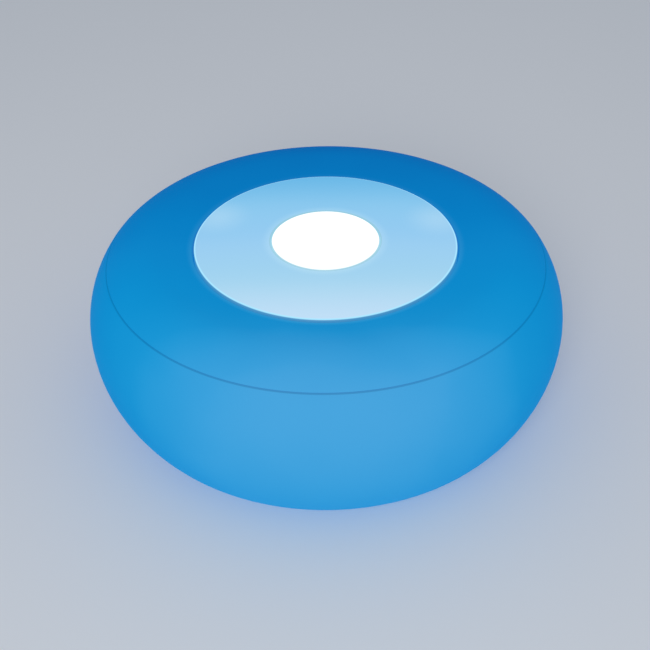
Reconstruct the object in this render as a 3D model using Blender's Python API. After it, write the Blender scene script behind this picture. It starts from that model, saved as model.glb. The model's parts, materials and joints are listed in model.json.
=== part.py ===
"""Light-up wireless audio receiver: a round opal puck with a lens and a push button on top.

Lengths are written in millimetres and MM turns them into Blender's metres. +Z is up, the sockets
face +Y, and the origin is on the table under the middle of the body.
"""

import math

import bmesh
import bpy
from mathutils import Matrix, Vector

MM = 0.001
GAP = 0.3  # between pieces that touch
SOLDER = 0.15  # under parts that are soldered to a board

# Outside of the body: arcs that meet tangentially, (radius from the axis, height) in the section.
OUTER_R = 60.0
EQUATOR_Z = 24.5
SHELL_BOTTOM_Z = 1.1
LOWER_SIDE_R = 31.7
UPPER_SIDE_R = 26.9
SHOULDER_R = 13.7
LOWER_TURN = -35.0  # degrees on the lower side arc where the bottom corner begins
UPPER_TURN = 33.6  # degrees on the upper side arc where the shoulder begins
DISH_TURN = 100.0  # degrees on the shoulder arc where it runs straight into the dish
PARTING_Z = 41.1  # the line where the two shells meet
WALL = 2.2

# Lens, button and the recess that they sit in.
LENS_R = 32.6
LENS_EDGE_Z = 44.2
LENS_CROWN = 0.4
LENS_UNDER_Z = 41.8
LENS_ROUND = 0.5
BORE_ROUND = 0.2
LEDGE_R = 29.5
LEDGE_THICK = 2.2
LIP_R = 33.5
LIP_ROUND = 0.5
BUTTON_R = 13.4
BUTTON_EDGE_Z = 44.8
BUTTON_CROWN = 0.4
BUTTON_CAVITY_R = 11.8
BUTTON_CAVITY_Z = 42.6
BUTTON_FLANGE_R = 14.6
BUTTON_FLANGE_THICK = 1.2
STEM_R = 1.8
STEM_LOW_Z = 39.6

# Skirt of the upper shell that locates it inside the lower one.
SKIRT_OUTER_R = 50.8
SKIRT_INNER_R = 48.7
SKIRT_LOW_Z = 37.5

# Foot ring and the screws that it hides.
GROOVE_R = (34.4, 41.0)
GROOVE_DEPTH = 1.0
SCREW_CIRCLE_R = 37.6
BASE_SCREW_ANGLES = (30.0, 150.0, 270.0)
BOSS_R = 4.2
BOSS_TOP_Z = 6.5
SCREW_SEAT_Z = 4.6
HEAD_SINK_R = 2.95
SHANK_HOLE_R = 1.7
FOOT_CHAMFER = 0.4

# Inner core: chassis, cover, battery and boards.
CHASSIS_R = 46.0
CHASSIS_Z = (6.8, 8.8)
CHASSIS_RIM = (1.2, 1.0)  # thickness and height of the edge round the chassis
BATTERY = (50.0, 34.0, 7.4)
CRADLE_WALL = 1.5
CRADLE_HEIGHT = 4.4
CRADLE_PLAY = 0.4
CORE_R = 34.6
CORE_WALL = 1.5
CORE_TOP_Z = 33.0
CORE_ROUND = 2.0
EAR_R = 3.4
EAR_TOP_Z = 17.0
PILOT_R = 1.6
BOARD_R = 31.8
BOARD_Z = (17.5, 18.7)
TONGUE_HALF = 13.0
TONGUE_END_Y = 54.2
POST_XY = ((21.0, 20.5), (-21.0, 20.5), (-21.0, -20.5), (21.0, -20.5))
POST_R = 3.0
POST_BORE_R = 1.25
BOARD_HOLE_R = 1.3
LED_BOARD_R = 27.0
LED_BOARD_Z = (33.3, 34.5)
LED_SCREW_X = (-22.5, 22.5)
LED_POST_R = 2.2
LED_POST_BORE_R = 1.1
RIBBON_Y = -20.0
RIBBON_HALF = 5.0
RIBBON_RUN = 5.0
RIBBON_THICK = 0.3
RIBBON_SOCKET_HEIGHT = (2.2, 1.9)  # on the main board, under the LED board
STRIP_Z = (26.8, 31.2)
STRIP_THICK = 0.4
STRIP_TO_LED = 0.2
SIDE_LED_COUNT = 6
LENS_LED_COUNT = 4
BUTTON_LED_COUNT = 4
FIRST_LED_ANGLE = 45.0

# Socket panel at the back, with its openings' middles along X.
PANEL_FACE_Y = 56.4
PANEL_BACK_Y = 51.2
PANEL_HALF = 14.7
PANEL_Z = (16.0, 25.4)
PANEL_WALL = 1.2
PANEL_FRONT = 1.6
PANEL_CORNER = 1.2
PANEL_FLANGE = (1.6, 1.4)  # how far it stands out sideways, and up and down
PANEL_FLANGE_THICK = 1.6
OPENING_CORNER = 1.5
CHARGE_X = -8.0
CHARGE_AXIS = 1.6  # heights of the sockets' middles above the board's parts level
CHARGE_HALF = (4.47, 1.6)
CHARGE_MOUTH_HALF = (4.17, 1.28)
CHARGE_HOLE_HALF = (4.8, 1.9)
CHARGE_DEPTH = 7.3
CHARGE_MOUTH_DEPTH = 6.0
TONGUE_HALF_SIZE = (3.35, 0.35)
TONGUE_Y = (6.4, 1.4)  # its root and tip, behind the socket's front
JACK_X = 1.5
JACK_AXIS = 2.5
JACK_HALF = 3.2
JACK_DEPTH = 12.0
JACK_BORE_DEPTH = 10.5
JACK_BARREL_R = 2.45
JACK_BORE_R = 1.8
JACK_HOLE_R = 2.8
SWITCH_X = 9.4
SWITCH_AXIS = 1.75
SWITCH_HALF = 3.6
SWITCH_CAVITY_HALF = (2.4, 0.95)
SWITCH_CAVITY_DEPTH = 2.2
SLOT_HALF = (2.5, 1.0)
KNOB_HALF = (1.1, 0.7)
KNOB_PROUD = 1.0
KNOB_ROOT = 1.9
SWITCH_TRAVEL = 2.0

# Push switch, spring and light well under the button.
TACT_SIZE = (6.2, 6.2, 3.8)
TACT_HOLE_R = 2.0
TACT_HOLE_DEPTH = 2.1
PLUNGER_R = 1.7
PLUNGER_TOP_Z = 39.3
PLUNGER_ROOT = 1.1
SPRING_R = 9.8
SPRING_WIRE_R = 0.4
SPRING_TURNS = 3
WELL_WALL = 1.2
WELL_FOOT = (3.0, 0.8)
WELL_PLAY = 0.4

# Screws: head radius, head thickness, shank radius, length.
BASE_SCREW = (2.6, 1.6, 1.3, 10.8)
BOARD_SCREW = (2.2, 1.4, 0.9, 7.0)
LED_SCREW = (1.9, 1.2, 0.8, 4.5)

LARGE_FACETS = 48
MEDIUM_FACETS = 32
SMALL_FACETS = 12
OVERRUN = 1.0  # how far a cutter reaches past the wall that it cuts
BITE = 0.4  # how far a joined piece reaches into its neighbour

COMPONENT_Z = BOARD_Z[1] + SOLDER
LIGHT_Z = LED_BOARD_Z[1] + SOLDER


# ---------------------------------------------------------------- outlines and meshes


def polar(centre, radius, degrees):
    angle = math.radians(degrees)
    return centre[0] + radius * math.cos(angle), centre[1] + radius * math.sin(angle)


def arc(centre, radius, start, stop, steps):
    return [polar(centre, radius, start + (stop - start) * i / steps) for i in range(steps + 1)]


def degrees_at_height(centre, radius, z):
    return math.degrees(math.asin((z - centre[1]) / radius))


def degrees_at_radius(centre, radius, r):
    return math.degrees(math.acos((r - centre[0]) / radius))


def on_circle(radius, degrees):
    return polar((0.0, 0.0), radius, degrees)


def rounded_outline(half_x, half_y, radius, steps=2, middle=(0.0, 0.0)):
    """Corner points of a rectangle with round corners, counter-clockwise."""
    points = []
    for turn, (side_x, side_y) in enumerate(((1, 1), (-1, 1), (-1, -1), (1, -1))):
        centre = (middle[0] + side_x * (half_x - radius), middle[1] + side_y * (half_y - radius))
        points += arc(centre, radius, 90 * turn, 90 * turn + 90, steps)
    return points


def turned(outline, facets):
    """Turns (radius, height) points about Z. A section that starts on the axis ends on it too."""
    mesh = bmesh.new()
    points = [mesh.verts.new((r, 0, z)) for r, z in outline]
    pairs = list(zip(points, points[1:]))
    if outline[0][0] > 0:
        pairs.append((points[-1], points[0]))
    edges = [mesh.edges.new(pair) for pair in pairs]
    bmesh.ops.spin(
        mesh, geom=points + edges, axis=(0, 0, 1), angle=math.tau, steps=facets, use_merge=True
    )
    bmesh.ops.remove_doubles(mesh, verts=mesh.verts[:], dist=0.001)
    return mesh


def rod(radius, low, high, at=(0.0, 0.0), facets=SMALL_FACETS):
    mesh = bmesh.new()
    middle = Matrix.Translation((at[0], at[1], (low + high) / 2))
    bmesh.ops.create_cone(
        mesh, cap_ends=True, segments=facets, radius1=radius, radius2=radius, depth=high - low, matrix=middle
    )
    return mesh


def rod_along_y(radius, low, high, x, z, facets=SMALL_FACETS):
    mesh = bmesh.new()
    matrix = Matrix.Translation((x, (low + high) / 2, z)) @ Matrix.Rotation(math.pi / 2, 4, "X")
    bmesh.ops.create_cone(
        mesh, cap_ends=True, segments=facets, radius1=radius, radius2=radius, depth=high - low, matrix=matrix
    )
    return mesh


def block(low, high, bevel=0.0):
    """A box between two corners, with its edges chamfered by bevel."""
    low, high = Vector(low), Vector(high)
    mesh = bmesh.new()
    matrix = Matrix.Translation((low + high) / 2) @ Matrix.Diagonal((*(high - low), 1))
    bmesh.ops.create_cube(mesh, size=1, matrix=matrix)
    if bevel:
        bmesh.ops.bevel(mesh, geom=mesh.edges[:], offset=bevel, segments=1, affect="EDGES")
    return mesh


def block_at(x, y, z_low, size, bevel=0.0):
    """A box that stands on z_low with its middle at x, y."""
    half_x, half_y = size[0] / 2, size[1] / 2
    return block((x - half_x, y - half_y, z_low), (x + half_x, y + half_y, z_low + size[2]), bevel)


def plate(outline, low, high):
    """A flat outline in X and Y, extruded from low to high along Z."""
    mesh = bmesh.new()
    face = mesh.faces.new([mesh.verts.new((x, y, low)) for x, y in outline])
    grown = bmesh.ops.extrude_face_region(mesh, geom=[face])
    moved = [item for item in grown["geom"] if isinstance(item, bmesh.types.BMVert)]
    bmesh.ops.translate(mesh, vec=(0, 0, high - low), verts=moved)
    return mesh


def upright(outline, low, high):
    """A flat outline in X and Z, extruded from low to high along Y."""
    mesh = plate([(x, -z) for x, z in outline], low, high)
    bmesh.ops.rotate(mesh, verts=mesh.verts[:], matrix=Matrix.Rotation(-math.pi / 2, 3, "X"))
    return mesh


def spun_by(mesh, degrees):
    bmesh.ops.rotate(mesh, verts=mesh.verts[:], matrix=Matrix.Rotation(math.radians(degrees), 3, "Z"))
    return mesh


# ---------------------------------------------------------------- objects and materials


def finish(name, colour, roughness, metallic=0.0, glow=None):
    material = bpy.data.materials.new(name)
    material.use_nodes = True
    shader = material.node_tree.nodes["Principled BSDF"]
    shader.inputs["Base Color"].default_value = (*colour, 1)
    shader.inputs["Roughness"].default_value = roughness
    shader.inputs["Metallic"].default_value = metallic
    if glow:
        shader.inputs["Emission Color"].default_value = (*glow, 1)
        shader.inputs["Emission Strength"].default_value = 1.0
    return material


def mesh_data(name, mesh, origin=(0, 0, 0)):
    """Blender mesh in metres, with its faces out and the given point at its origin."""
    bmesh.ops.recalc_face_normals(mesh, faces=mesh.faces[:])
    bmesh.ops.translate(mesh, vec=-Vector(origin), verts=mesh.verts[:])
    bmesh.ops.scale(mesh, vec=(MM, MM, MM), verts=mesh.verts[:])
    data = bpy.data.meshes.new(name)
    mesh.to_mesh(data)
    mesh.free()
    data.shade_smooth()
    data.set_sharp_from_angle(angle=math.radians(30))
    return data


def piece(name, mesh, material, origin=(0, 0, 0)):
    data = mesh_data(name, mesh, origin)
    data.materials.append(material)
    item = bpy.data.objects.new(name, data)
    item.location = Vector(origin) * MM
    bpy.context.scene.collection.objects.link(item)
    return item


def shape(target, operation, meshes):
    """Joins or cuts the target with helper meshes that stay out of renders."""
    for mesh in meshes:
        name = f"{target.name}_{operation.lower()}_{len(target.modifiers)}"
        helper = bpy.data.objects.new(name, mesh_data(name, mesh, Vector(target.location) / MM))
        helper.location = target.location
        helper.hide_render = True
        helper.display_type = "WIRE"
        bpy.context.scene.collection.objects.link(helper)
        modifier = target.modifiers.new(name, "BOOLEAN")
        modifier.operation = operation
        modifier.object = helper


def join(target, meshes):
    shape(target, "UNION", meshes)


def cut(target, meshes):
    shape(target, "DIFFERENCE", meshes)


# ---------------------------------------------------------------- section of the body

LOWER_SIDE = (OUTER_R - LOWER_SIDE_R, EQUATOR_Z)
UPPER_SIDE = (OUTER_R - UPPER_SIDE_R, EQUATOR_Z)
# The corner arc ends level with the bottom, which sets its radius.
CORNER_DROP = EQUATOR_Z - SHELL_BOTTOM_Z - LOWER_SIDE_R * math.sin(-math.radians(LOWER_TURN))
CORNER_R = CORNER_DROP / (1 - math.sin(-math.radians(LOWER_TURN)))
CORNER = polar(LOWER_SIDE, LOWER_SIDE_R - CORNER_R, LOWER_TURN)
SHOULDER = polar(UPPER_SIDE, UPPER_SIDE_R - SHOULDER_R, UPPER_TURN)
DISH_TOP = polar(SHOULDER, SHOULDER_R, DISH_TURN)
DISH_SLOPE = math.tan(math.radians(DISH_TURN - 90))
LIP_Z = DISH_TOP[1] - (DISH_TOP[0] - LIP_R) * DISH_SLOPE


def side_section(inset, top_z, steps):
    """From the end of the flat bottom up to top_z, set in from the outside by inset."""
    corner_r, lower_r, upper_r = CORNER_R - inset, LOWER_SIDE_R - inset, UPPER_SIDE_R - inset
    shoulder_r = SHOULDER_R - inset
    last = degrees_at_height(SHOULDER, shoulder_r, top_z)
    points = arc(CORNER, corner_r, -90, LOWER_TURN, steps)
    points += arc(LOWER_SIDE, lower_r, LOWER_TURN, 0, steps)[1:]
    points += arc(UPPER_SIDE, upper_r, 0, UPPER_TURN, steps)[1:]
    points += arc(SHOULDER, shoulder_r, UPPER_TURN, last, 2)[1:]
    return points


def lower_shell(material):
    rim_z = PARTING_Z - GAP / 2
    groove_z = SHELL_BOTTOM_Z + GROOVE_DEPTH
    outline = [(0, SHELL_BOTTOM_Z), (GROOVE_R[0], SHELL_BOTTOM_Z), (GROOVE_R[0], groove_z)]
    outline += [(GROOVE_R[1], groove_z), (GROOVE_R[1], SHELL_BOTTOM_Z)]
    outline += side_section(0, rim_z, 5)
    outline += reversed(side_section(WALL, rim_z, 3))
    outline += [(0, SHELL_BOTTOM_Z + WALL)]
    shell = piece("lower_shell", turned(outline, LARGE_FACETS), material)
    spots = [on_circle(SCREW_CIRCLE_R, angle) for angle in BASE_SCREW_ANGLES]
    floor_z = SHELL_BOTTOM_Z + WALL
    join(shell, [rod(BOSS_R, floor_z - BITE, BOSS_TOP_Z, spot) for spot in spots])
    cut(shell, [rod(HEAD_SINK_R, 0, SCREW_SEAT_Z, spot) for spot in spots])
    cut(shell, [rod(SHANK_HOLE_R, 0, BOSS_TOP_Z + OVERRUN, spot) for spot in spots])
    middle_z = sum(PANEL_Z) / 2
    half_z = middle_z - PANEL_Z[0]
    opening = rounded_outline(PANEL_HALF + GAP, half_z + GAP, OPENING_CORNER, 2, (0, middle_z))
    cut(shell, [upright(opening, PANEL_BACK_Y, OUTER_R + OVERRUN)])


def upper_shell(material):
    rim_z = PARTING_Z + GAP / 2
    ledge_z = LENS_UNDER_Z - GAP
    wall_r = LENS_R + GAP
    inner_r = SHOULDER_R - WALL
    outline = arc(SHOULDER, SHOULDER_R, degrees_at_height(SHOULDER, SHOULDER_R, rim_z), DISH_TURN, 8)
    outline += [(LIP_R, LIP_Z), (LIP_R - 0.4, LIP_Z - 0.15), (wall_r, LIP_Z - LIP_ROUND)]
    outline += [(wall_r, ledge_z), (LEDGE_R, ledge_z), (LEDGE_R, ledge_z - LEDGE_THICK)]
    outline += [(wall_r + WALL, ledge_z - LEDGE_THICK), (wall_r + WALL, LIP_Z - WALL)]
    outline += arc(SHOULDER, inner_r, DISH_TURN, degrees_at_radius(SHOULDER, inner_r, SKIRT_INNER_R), 3)
    outline += [(SKIRT_INNER_R, SKIRT_LOW_Z), (SKIRT_OUTER_R, SKIRT_LOW_Z), (SKIRT_OUTER_R, rim_z)]
    piece("upper_shell", turned(outline, LARGE_FACETS), material)


def top_lens(material):
    inner_r, top, crown_z = BUTTON_R + GAP, LENS_EDGE_Z, LENS_EDGE_Z + LENS_CROWN
    rounding = arc((LENS_R - LENS_ROUND, top - LENS_ROUND), LENS_ROUND, 0, 90, 2)
    outline = [(LENS_R, LENS_UNDER_Z)] + rounding
    span = LENS_R - LENS_ROUND - inner_r
    outline += [(inner_r + span * part, top + LENS_CROWN * (1 - part**2)) for part in (0.66, 0.33)]
    outline += [(inner_r + BORE_ROUND, crown_z), (inner_r, crown_z - BORE_ROUND), (inner_r, LENS_UNDER_Z)]
    piece("top_lens", turned(outline, LARGE_FACETS), material)


def power_button(material):
    flange_top = LENS_UNDER_Z - GAP
    crown = [(BUTTON_R * part, BUTTON_EDGE_Z + BUTTON_CROWN * (1 - part**2)) for part in (0, 0.4, 0.7)]
    outline = crown + [(BUTTON_R - 0.6, BUTTON_EDGE_Z), (BUTTON_R - 0.15, BUTTON_EDGE_Z - 0.2)]
    outline += [(BUTTON_R, BUTTON_EDGE_Z - 0.6), (BUTTON_R, flange_top), (BUTTON_FLANGE_R, flange_top)]
    flange_low = flange_top - BUTTON_FLANGE_THICK
    outline += [(BUTTON_FLANGE_R, flange_low), (BUTTON_CAVITY_R, flange_low)]
    outline += [(BUTTON_CAVITY_R, BUTTON_CAVITY_Z), (STEM_R, BUTTON_CAVITY_Z)]
    outline += [(STEM_R, STEM_LOW_Z), (0, STEM_LOW_Z)]
    piece("power_button", turned(outline, MEDIUM_FACETS), material, (0, 0, BUTTON_CAVITY_Z))


def foot_ring(material):
    low_r, high_r = GROOVE_R[0] + GAP, GROOVE_R[1] - GAP
    top, edge = SHELL_BOTTOM_Z + GROOVE_DEPTH - GAP, FOOT_CHAMFER
    outline = [(low_r + edge, 0), (high_r - edge, 0), (high_r, edge)]
    outline += [(high_r, top), (low_r, top), (low_r, edge)]
    piece("foot_ring", turned(outline, LARGE_FACETS), material)


# ---------------------------------------------------------------- socket panel and its sockets


def port_panel(material):
    middle_z = sum(PANEL_Z) / 2
    half_z = middle_z - PANEL_Z[0]
    body = rounded_outline(PANEL_HALF, half_z, PANEL_CORNER, 2, (0, middle_z))
    panel = piece("port_panel", upright(body, PANEL_BACK_Y, PANEL_FACE_Y), material)
    out_x, out_z = PANEL_FLANGE
    flange = rounded_outline(PANEL_HALF + out_x, half_z + out_z, PANEL_CORNER, 1, (0, middle_z))
    join(panel, [upright(flange, PANEL_BACK_Y - 0.1, PANEL_BACK_Y + PANEL_FLANGE_THICK)])
    inside = rounded_outline(PANEL_HALF - PANEL_WALL, half_z - PANEL_WALL, 0.4, 1, (0, middle_z))
    charge = rounded_outline(*CHARGE_HOLE_HALF, 1.8, 3, (CHARGE_X, COMPONENT_Z + CHARGE_AXIS))
    slot = rounded_outline(*SLOT_HALF, 0.3, 1, (SWITCH_X, COMPONENT_Z + SWITCH_AXIS))
    through = (PANEL_BACK_Y, PANEL_FACE_Y + OVERRUN)
    cut(panel, [upright(inside, PANEL_BACK_Y - OVERRUN, PANEL_FACE_Y - PANEL_FRONT)])
    cut(panel, [upright(hole, *through) for hole in (charge, slot)])
    cut(panel, [rod_along_y(JACK_HOLE_R, *through, JACK_X, COMPONENT_Z + JACK_AXIS, 16)])


def charge_socket(material):
    middle = (CHARGE_X, COMPONENT_Z + CHARGE_AXIS)
    front = PANEL_FACE_Y - GAP
    body = rounded_outline(*CHARGE_HALF, 1.5, 3, middle)
    mouth = rounded_outline(*CHARGE_MOUTH_HALF, 1.2, 3, middle)
    socket = piece("charge_socket", upright(body, front - CHARGE_DEPTH, front), material)
    cut(socket, [upright(mouth, front - CHARGE_MOUTH_DEPTH, front + OVERRUN)])
    half_x, half_z = TONGUE_HALF_SIZE
    root, tip = TONGUE_Y
    low = (CHARGE_X - half_x, front - root, middle[1] - half_z)
    join(socket, [block(low, (CHARGE_X + half_x, front - tip, middle[1] + half_z))])


def audio_jack(material):
    axis_z = COMPONENT_Z + JACK_AXIS
    front = PANEL_FACE_Y - PANEL_FRONT - GAP
    low = (JACK_X - JACK_HALF, front - JACK_DEPTH, COMPONENT_Z)
    body = block(low, (JACK_X + JACK_HALF, front, COMPONENT_Z + 2 * JACK_AXIS), 0.3)
    jack = piece("audio_jack", body, material)
    join(jack, [rod_along_y(JACK_BARREL_R, front - 0.5, PANEL_FACE_Y - GAP, JACK_X, axis_z, 16)])
    cut(jack, [rod_along_y(JACK_BORE_R, front - JACK_BORE_DEPTH, PANEL_FACE_Y + OVERRUN, JACK_X, axis_z, 16)])


def slide_switch(body_material, knob_material):
    middle_z = COMPONENT_Z + SWITCH_AXIS
    front = PANEL_FACE_Y - PANEL_FRONT - GAP
    low = (SWITCH_X - SWITCH_HALF, front - SWITCH_HALF, COMPONENT_Z)
    high = (SWITCH_X + SWITCH_HALF, front, COMPONENT_Z + 2 * SWITCH_AXIS)
    body = piece("slide_switch_body", block(low, high, 0.2), body_material)
    half_x, half_z = SWITCH_CAVITY_HALF
    low = (SWITCH_X - half_x, front - SWITCH_CAVITY_DEPTH, middle_z - half_z)
    cut(body, [block(low, (SWITCH_X + half_x, front + OVERRUN, middle_z + half_z))])
    knob_x = SWITCH_X - SWITCH_TRAVEL / 2
    half_x, half_z = KNOB_HALF
    low = (knob_x - half_x, front - KNOB_ROOT, middle_z - half_z)
    knob = block(low, (knob_x + half_x, PANEL_FACE_Y + KNOB_PROUD, middle_z + half_z), 0.15)
    piece("slide_switch_knob", knob, knob_material, (knob_x, front, middle_z))


# ---------------------------------------------------------------- inner core


def chassis(material):
    low, high = CHASSIS_Z
    rim, rise = CHASSIS_RIM
    outline = [(0, low), (CHASSIS_R, low), (CHASSIS_R, high + rise), (CHASSIS_R - rim, high + rise)]
    outline += [(CHASSIS_R - rim, high), (0, high)]
    tray = piece("chassis", turned(outline, LARGE_FACETS), material)
    length, width = (side + 2 * CRADLE_PLAY for side in BATTERY[:2])
    outer = (length + 2 * CRADLE_WALL, width + 2 * CRADLE_WALL, CRADLE_HEIGHT)
    join(tray, [block_at(0, 0, high - BITE, outer)])
    cut(tray, [block_at(0, 0, high - BITE / 2, (length, width, CRADLE_HEIGHT + OVERRUN))])
    join(tray, [rod(POST_R, high - BITE, BOARD_Z[0] - GAP, spot) for spot in POST_XY])
    cut(tray, [rod(POST_BORE_R, high + 1.2, BOARD_Z[0] + OVERRUN, spot, 10) for spot in POST_XY])
    spots = [on_circle(SCREW_CIRCLE_R, angle) for angle in BASE_SCREW_ANGLES]
    cut(tray, [rod(SHANK_HOLE_R, low - OVERRUN, high + OVERRUN, spot, 10) for spot in spots])


def core_cover(material):
    low, top, inner_r = CHASSIS_Z[1] + GAP, CORE_TOP_Z, CORE_R - CORE_WALL
    outline = [(0, top)] + arc((CORE_R - CORE_ROUND, top - CORE_ROUND), CORE_ROUND, 90, 0, 3)
    outline += [(CORE_R, low), (inner_r, low), (inner_r, top - CORE_WALL), (0, top - CORE_WALL)]
    cover = piece("core_cover", turned(outline, LARGE_FACETS), material)
    spots = [on_circle(SCREW_CIRCLE_R, angle) for angle in BASE_SCREW_ANGLES]
    join(cover, [rod(EAR_R, low, EAR_TOP_Z, spot) for spot in spots])
    join(cover, [rod(LED_POST_R, top - 5, top - 1, (x, 0), 10) for x in LED_SCREW_X])
    cut(cover, [rod(PILOT_R, low - OVERRUN, EAR_TOP_Z - 1, spot, 10) for spot in spots])
    cut(cover, [rod(LED_POST_BORE_R, top - 4.4, top + OVERRUN, (x, 0), 10) for x in LED_SCREW_X])
    half = TONGUE_HALF + 1
    cut(cover, [block((-half, 20, BOARD_Z[0] - 1.5), (half, CORE_R + 4, 26))])
    slit_x, slit_y = 7.3, 2.8
    cut(cover, [block((-slit_x, RIBBON_Y - slit_y, top - 4), (slit_x, RIBBON_Y + slit_y, top + OVERRUN))])


def battery(cell_material, plug_material, red, black):
    floor_z = CHASSIS_Z[1] + 0.1
    piece("battery_pack", block_at(0, 0, floor_z, BATTERY, 1.2), cell_material)
    piece("battery_socket", block_at(-21, 0, COMPONENT_Z, (5, 7.5, 4.8), 0.2), plug_material)
    piece("battery_plug", block_at(-25.4, 0, COMPONENT_Z + 0.6, (3.0, 6.0, 3.4), 0.2), plug_material)
    end_x = -BATTERY[0] / 2 - GAP
    for name, y, material in (("battery_lead_red", 1.1, red), ("battery_lead_black", -1.1, black)):
        route = [(end_x, 14.0), (-27.0, 14.0), (-28.8, 14.6), (-29.9, 16.2), (-30.2, 18.2)]
        route += [(-29.9, 20.0), (-28.9, 21.1), (-27.2, 21.3)]
        wire(name, [(x, y, z) for x, z in route], 0.6, material)


def wire(name, points, radius, material):
    """A round wire through the given points."""
    curve = bpy.data.curves.new(name, "CURVE")
    curve.dimensions = "3D"
    curve.bevel_depth = radius * MM
    curve.bevel_resolution = 1
    curve.use_fill_caps = True
    spline = curve.splines.new("POLY")
    spline.points.add(len(points) - 1)
    for target, point in zip(spline.points, points):
        target.co = (*(Vector(point) * MM), 1)
    curve.materials.append(material)
    bpy.context.scene.collection.objects.link(bpy.data.objects.new(name, curve))


def main_board(material):
    turn = math.degrees(math.asin(TONGUE_HALF / BOARD_R))
    outline = [(TONGUE_HALF, TONGUE_END_Y), (-TONGUE_HALF, TONGUE_END_Y)]
    outline += arc((0, 0), BOARD_R, 90 + turn, 450 - turn, 36)
    board = piece("main_board", plate(outline, *BOARD_Z), material)
    low, high = BOARD_Z[0] - OVERRUN, BOARD_Z[1] + OVERRUN
    cut(board, [rod(BOARD_HOLE_R, low, high, spot, 10) for spot in POST_XY])
    lead_half = 3.2
    cut(board, [block((-BOARD_R - OVERRUN, -lead_half, low), (-28.4, lead_half, high))])


def board_parts(materials):
    """Soldered parts, each with its middle, the level it stands on, its size, chamfer and material."""
    z = COMPONENT_Z
    module_thick = 0.8
    module_z = z + module_thick + SOLDER
    parts = (
        ("radio_module", (-9, -13), z, (15, 13, module_thick), 0.0, "board"),
        ("module_shield", (-7.5, -13), module_z, (11, 11, 1.7), 0.25, "steel"),
        ("chip_antenna", (-15, -13), module_z, (1.6, 3.2, 1.0), 0.1, "ceramic"),
        ("audio_dac", (11, -9), z, (5, 5, 0.9), 0.1, "chip"),
        ("charge_chip", (-9, 9), z, (4.9, 3.9, 1.5), 0.15, "chip"),
        ("led_driver", (13, 5), z, (4, 4, 0.9), 0.1, "chip"),
        ("power_inductor", (-9, 19), z, (5, 5, 3), 0.5, "ceramic"),
    )
    for name, middle, level, size, bevel, material in parts:
        piece(name, block_at(*middle, level, size, bevel), materials[material])
    can_r, can_height, shoulder, can_y = 2.5, 5.3, 0.3, 24
    for number, x in enumerate((1.0, 9.0), 1):
        can = [(0, z), (can_r, z), (can_r, z + can_height - shoulder), (can_r - shoulder, z + can_height)]
        mesh = turned(can + [(0, z + can_height)], 16)
        bmesh.ops.translate(mesh, vec=(x, can_y, 0), verts=mesh.verts[:])
        piece(f"output_capacitor_{number}", mesh, materials["steel"])


def ribbon(plug_material, film_material):
    lower, upper = RIBBON_SOCKET_HEIGHT
    start_y = RIBBON_Y - RIBBON_RUN
    piece("main_ribbon_socket", block_at(0, start_y, COMPONENT_Z, (12, 4, lower), 0.2), plug_material)
    led_socket_z = LED_BOARD_Z[0] - SOLDER - upper
    piece("led_ribbon_socket", block_at(0, RIBBON_Y, led_socket_z, (13, 4, upper), 0.2), plug_material)
    low, high = COMPONENT_Z + lower + GAP, led_socket_z - GAP
    steps = 8
    route = []
    for step in range(steps + 1):
        share = (1 + math.cos(math.pi * step / steps)) / 2
        route.append((RIBBON_Y - RIBBON_RUN * share, low + (high - low) * step / steps))
    mesh = bmesh.new()
    rows = [[mesh.verts.new((x, y, z)) for x in (-RIBBON_HALF, RIBBON_HALF)] for y, z in route]
    for first, second in zip(rows, rows[1:]):
        mesh.faces.new((first[0], first[1], second[1], second[0]))
    film = piece("led_ribbon", mesh, film_material)
    thickness = film.modifiers.new("film", "SOLIDIFY")
    thickness.thickness = RIBBON_THICK * MM
    thickness.offset = 0


# ---------------------------------------------------------------- lights, switch and spring


def led_row(name, count, first, low, high, bevel, material):
    """Copies of one LED, spaced evenly round the axis."""
    for number in range(count):
        led = spun_by(block(low, high, bevel), first + 360 * number / count)
        piece(f"{name}_{number + 1}", led, material)


def light_pieces(materials):
    board = rod(LED_BOARD_R, *LED_BOARD_Z, facets=LARGE_FACETS)
    led_board = piece("led_board", board, materials["white_board"])
    low, high = LED_BOARD_Z[0] - OVERRUN, LED_BOARD_Z[1] + OVERRUN
    cut(led_board, [rod(BOARD_HOLE_R, low, high, (x, 0), 10) for x in LED_SCREW_X])
    strip_in, strip_out = CORE_R + GAP, CORE_R + GAP + STRIP_THICK
    ring = [(strip_in, STRIP_Z[0]), (strip_out, STRIP_Z[0]), (strip_out, STRIP_Z[1]), (strip_in, STRIP_Z[1])]
    piece("side_led_strip", turned(ring, LARGE_FACETS), materials["white_board"])
    white, blue = materials["white_led"], materials["blue_led"]
    low, high = (4.9, -1.75, LIGHT_Z), (7.7, 1.75, LIGHT_Z + 0.9)
    led_row("button_led", BUTTON_LED_COUNT, FIRST_LED_ANGLE, low, high, 0.1, white)
    low, high = (20, -2.5, LIGHT_Z), (25, 2.5, LIGHT_Z + 1.5)
    led_row("lens_led", LENS_LED_COUNT, FIRST_LED_ANGLE, low, high, 0.2, blue)
    side_r, middle_z, half = strip_out + STRIP_TO_LED, sum(STRIP_Z) / 2, 1.75
    low, high = (side_r, -half, middle_z - half), (side_r + 1.5, half, middle_z + half)
    led_row("side_led", SIDE_LED_COUNT, 0, low, high, 0.15, blue)


def light_well(material):
    low, high, inner_r = LED_BOARD_Z[1] + GAP, LENS_UNDER_Z - GAP, BUTTON_FLANGE_R + WELL_PLAY
    foot, foot_thick = WELL_FOOT
    outline = [(inner_r, low), (inner_r + foot, low), (inner_r + foot, low + foot_thick)]
    outline += [(inner_r + WELL_WALL, low + foot_thick), (inner_r + WELL_WALL, high), (inner_r, high)]
    piece("light_well", turned(outline, MEDIUM_FACETS), material)


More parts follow.
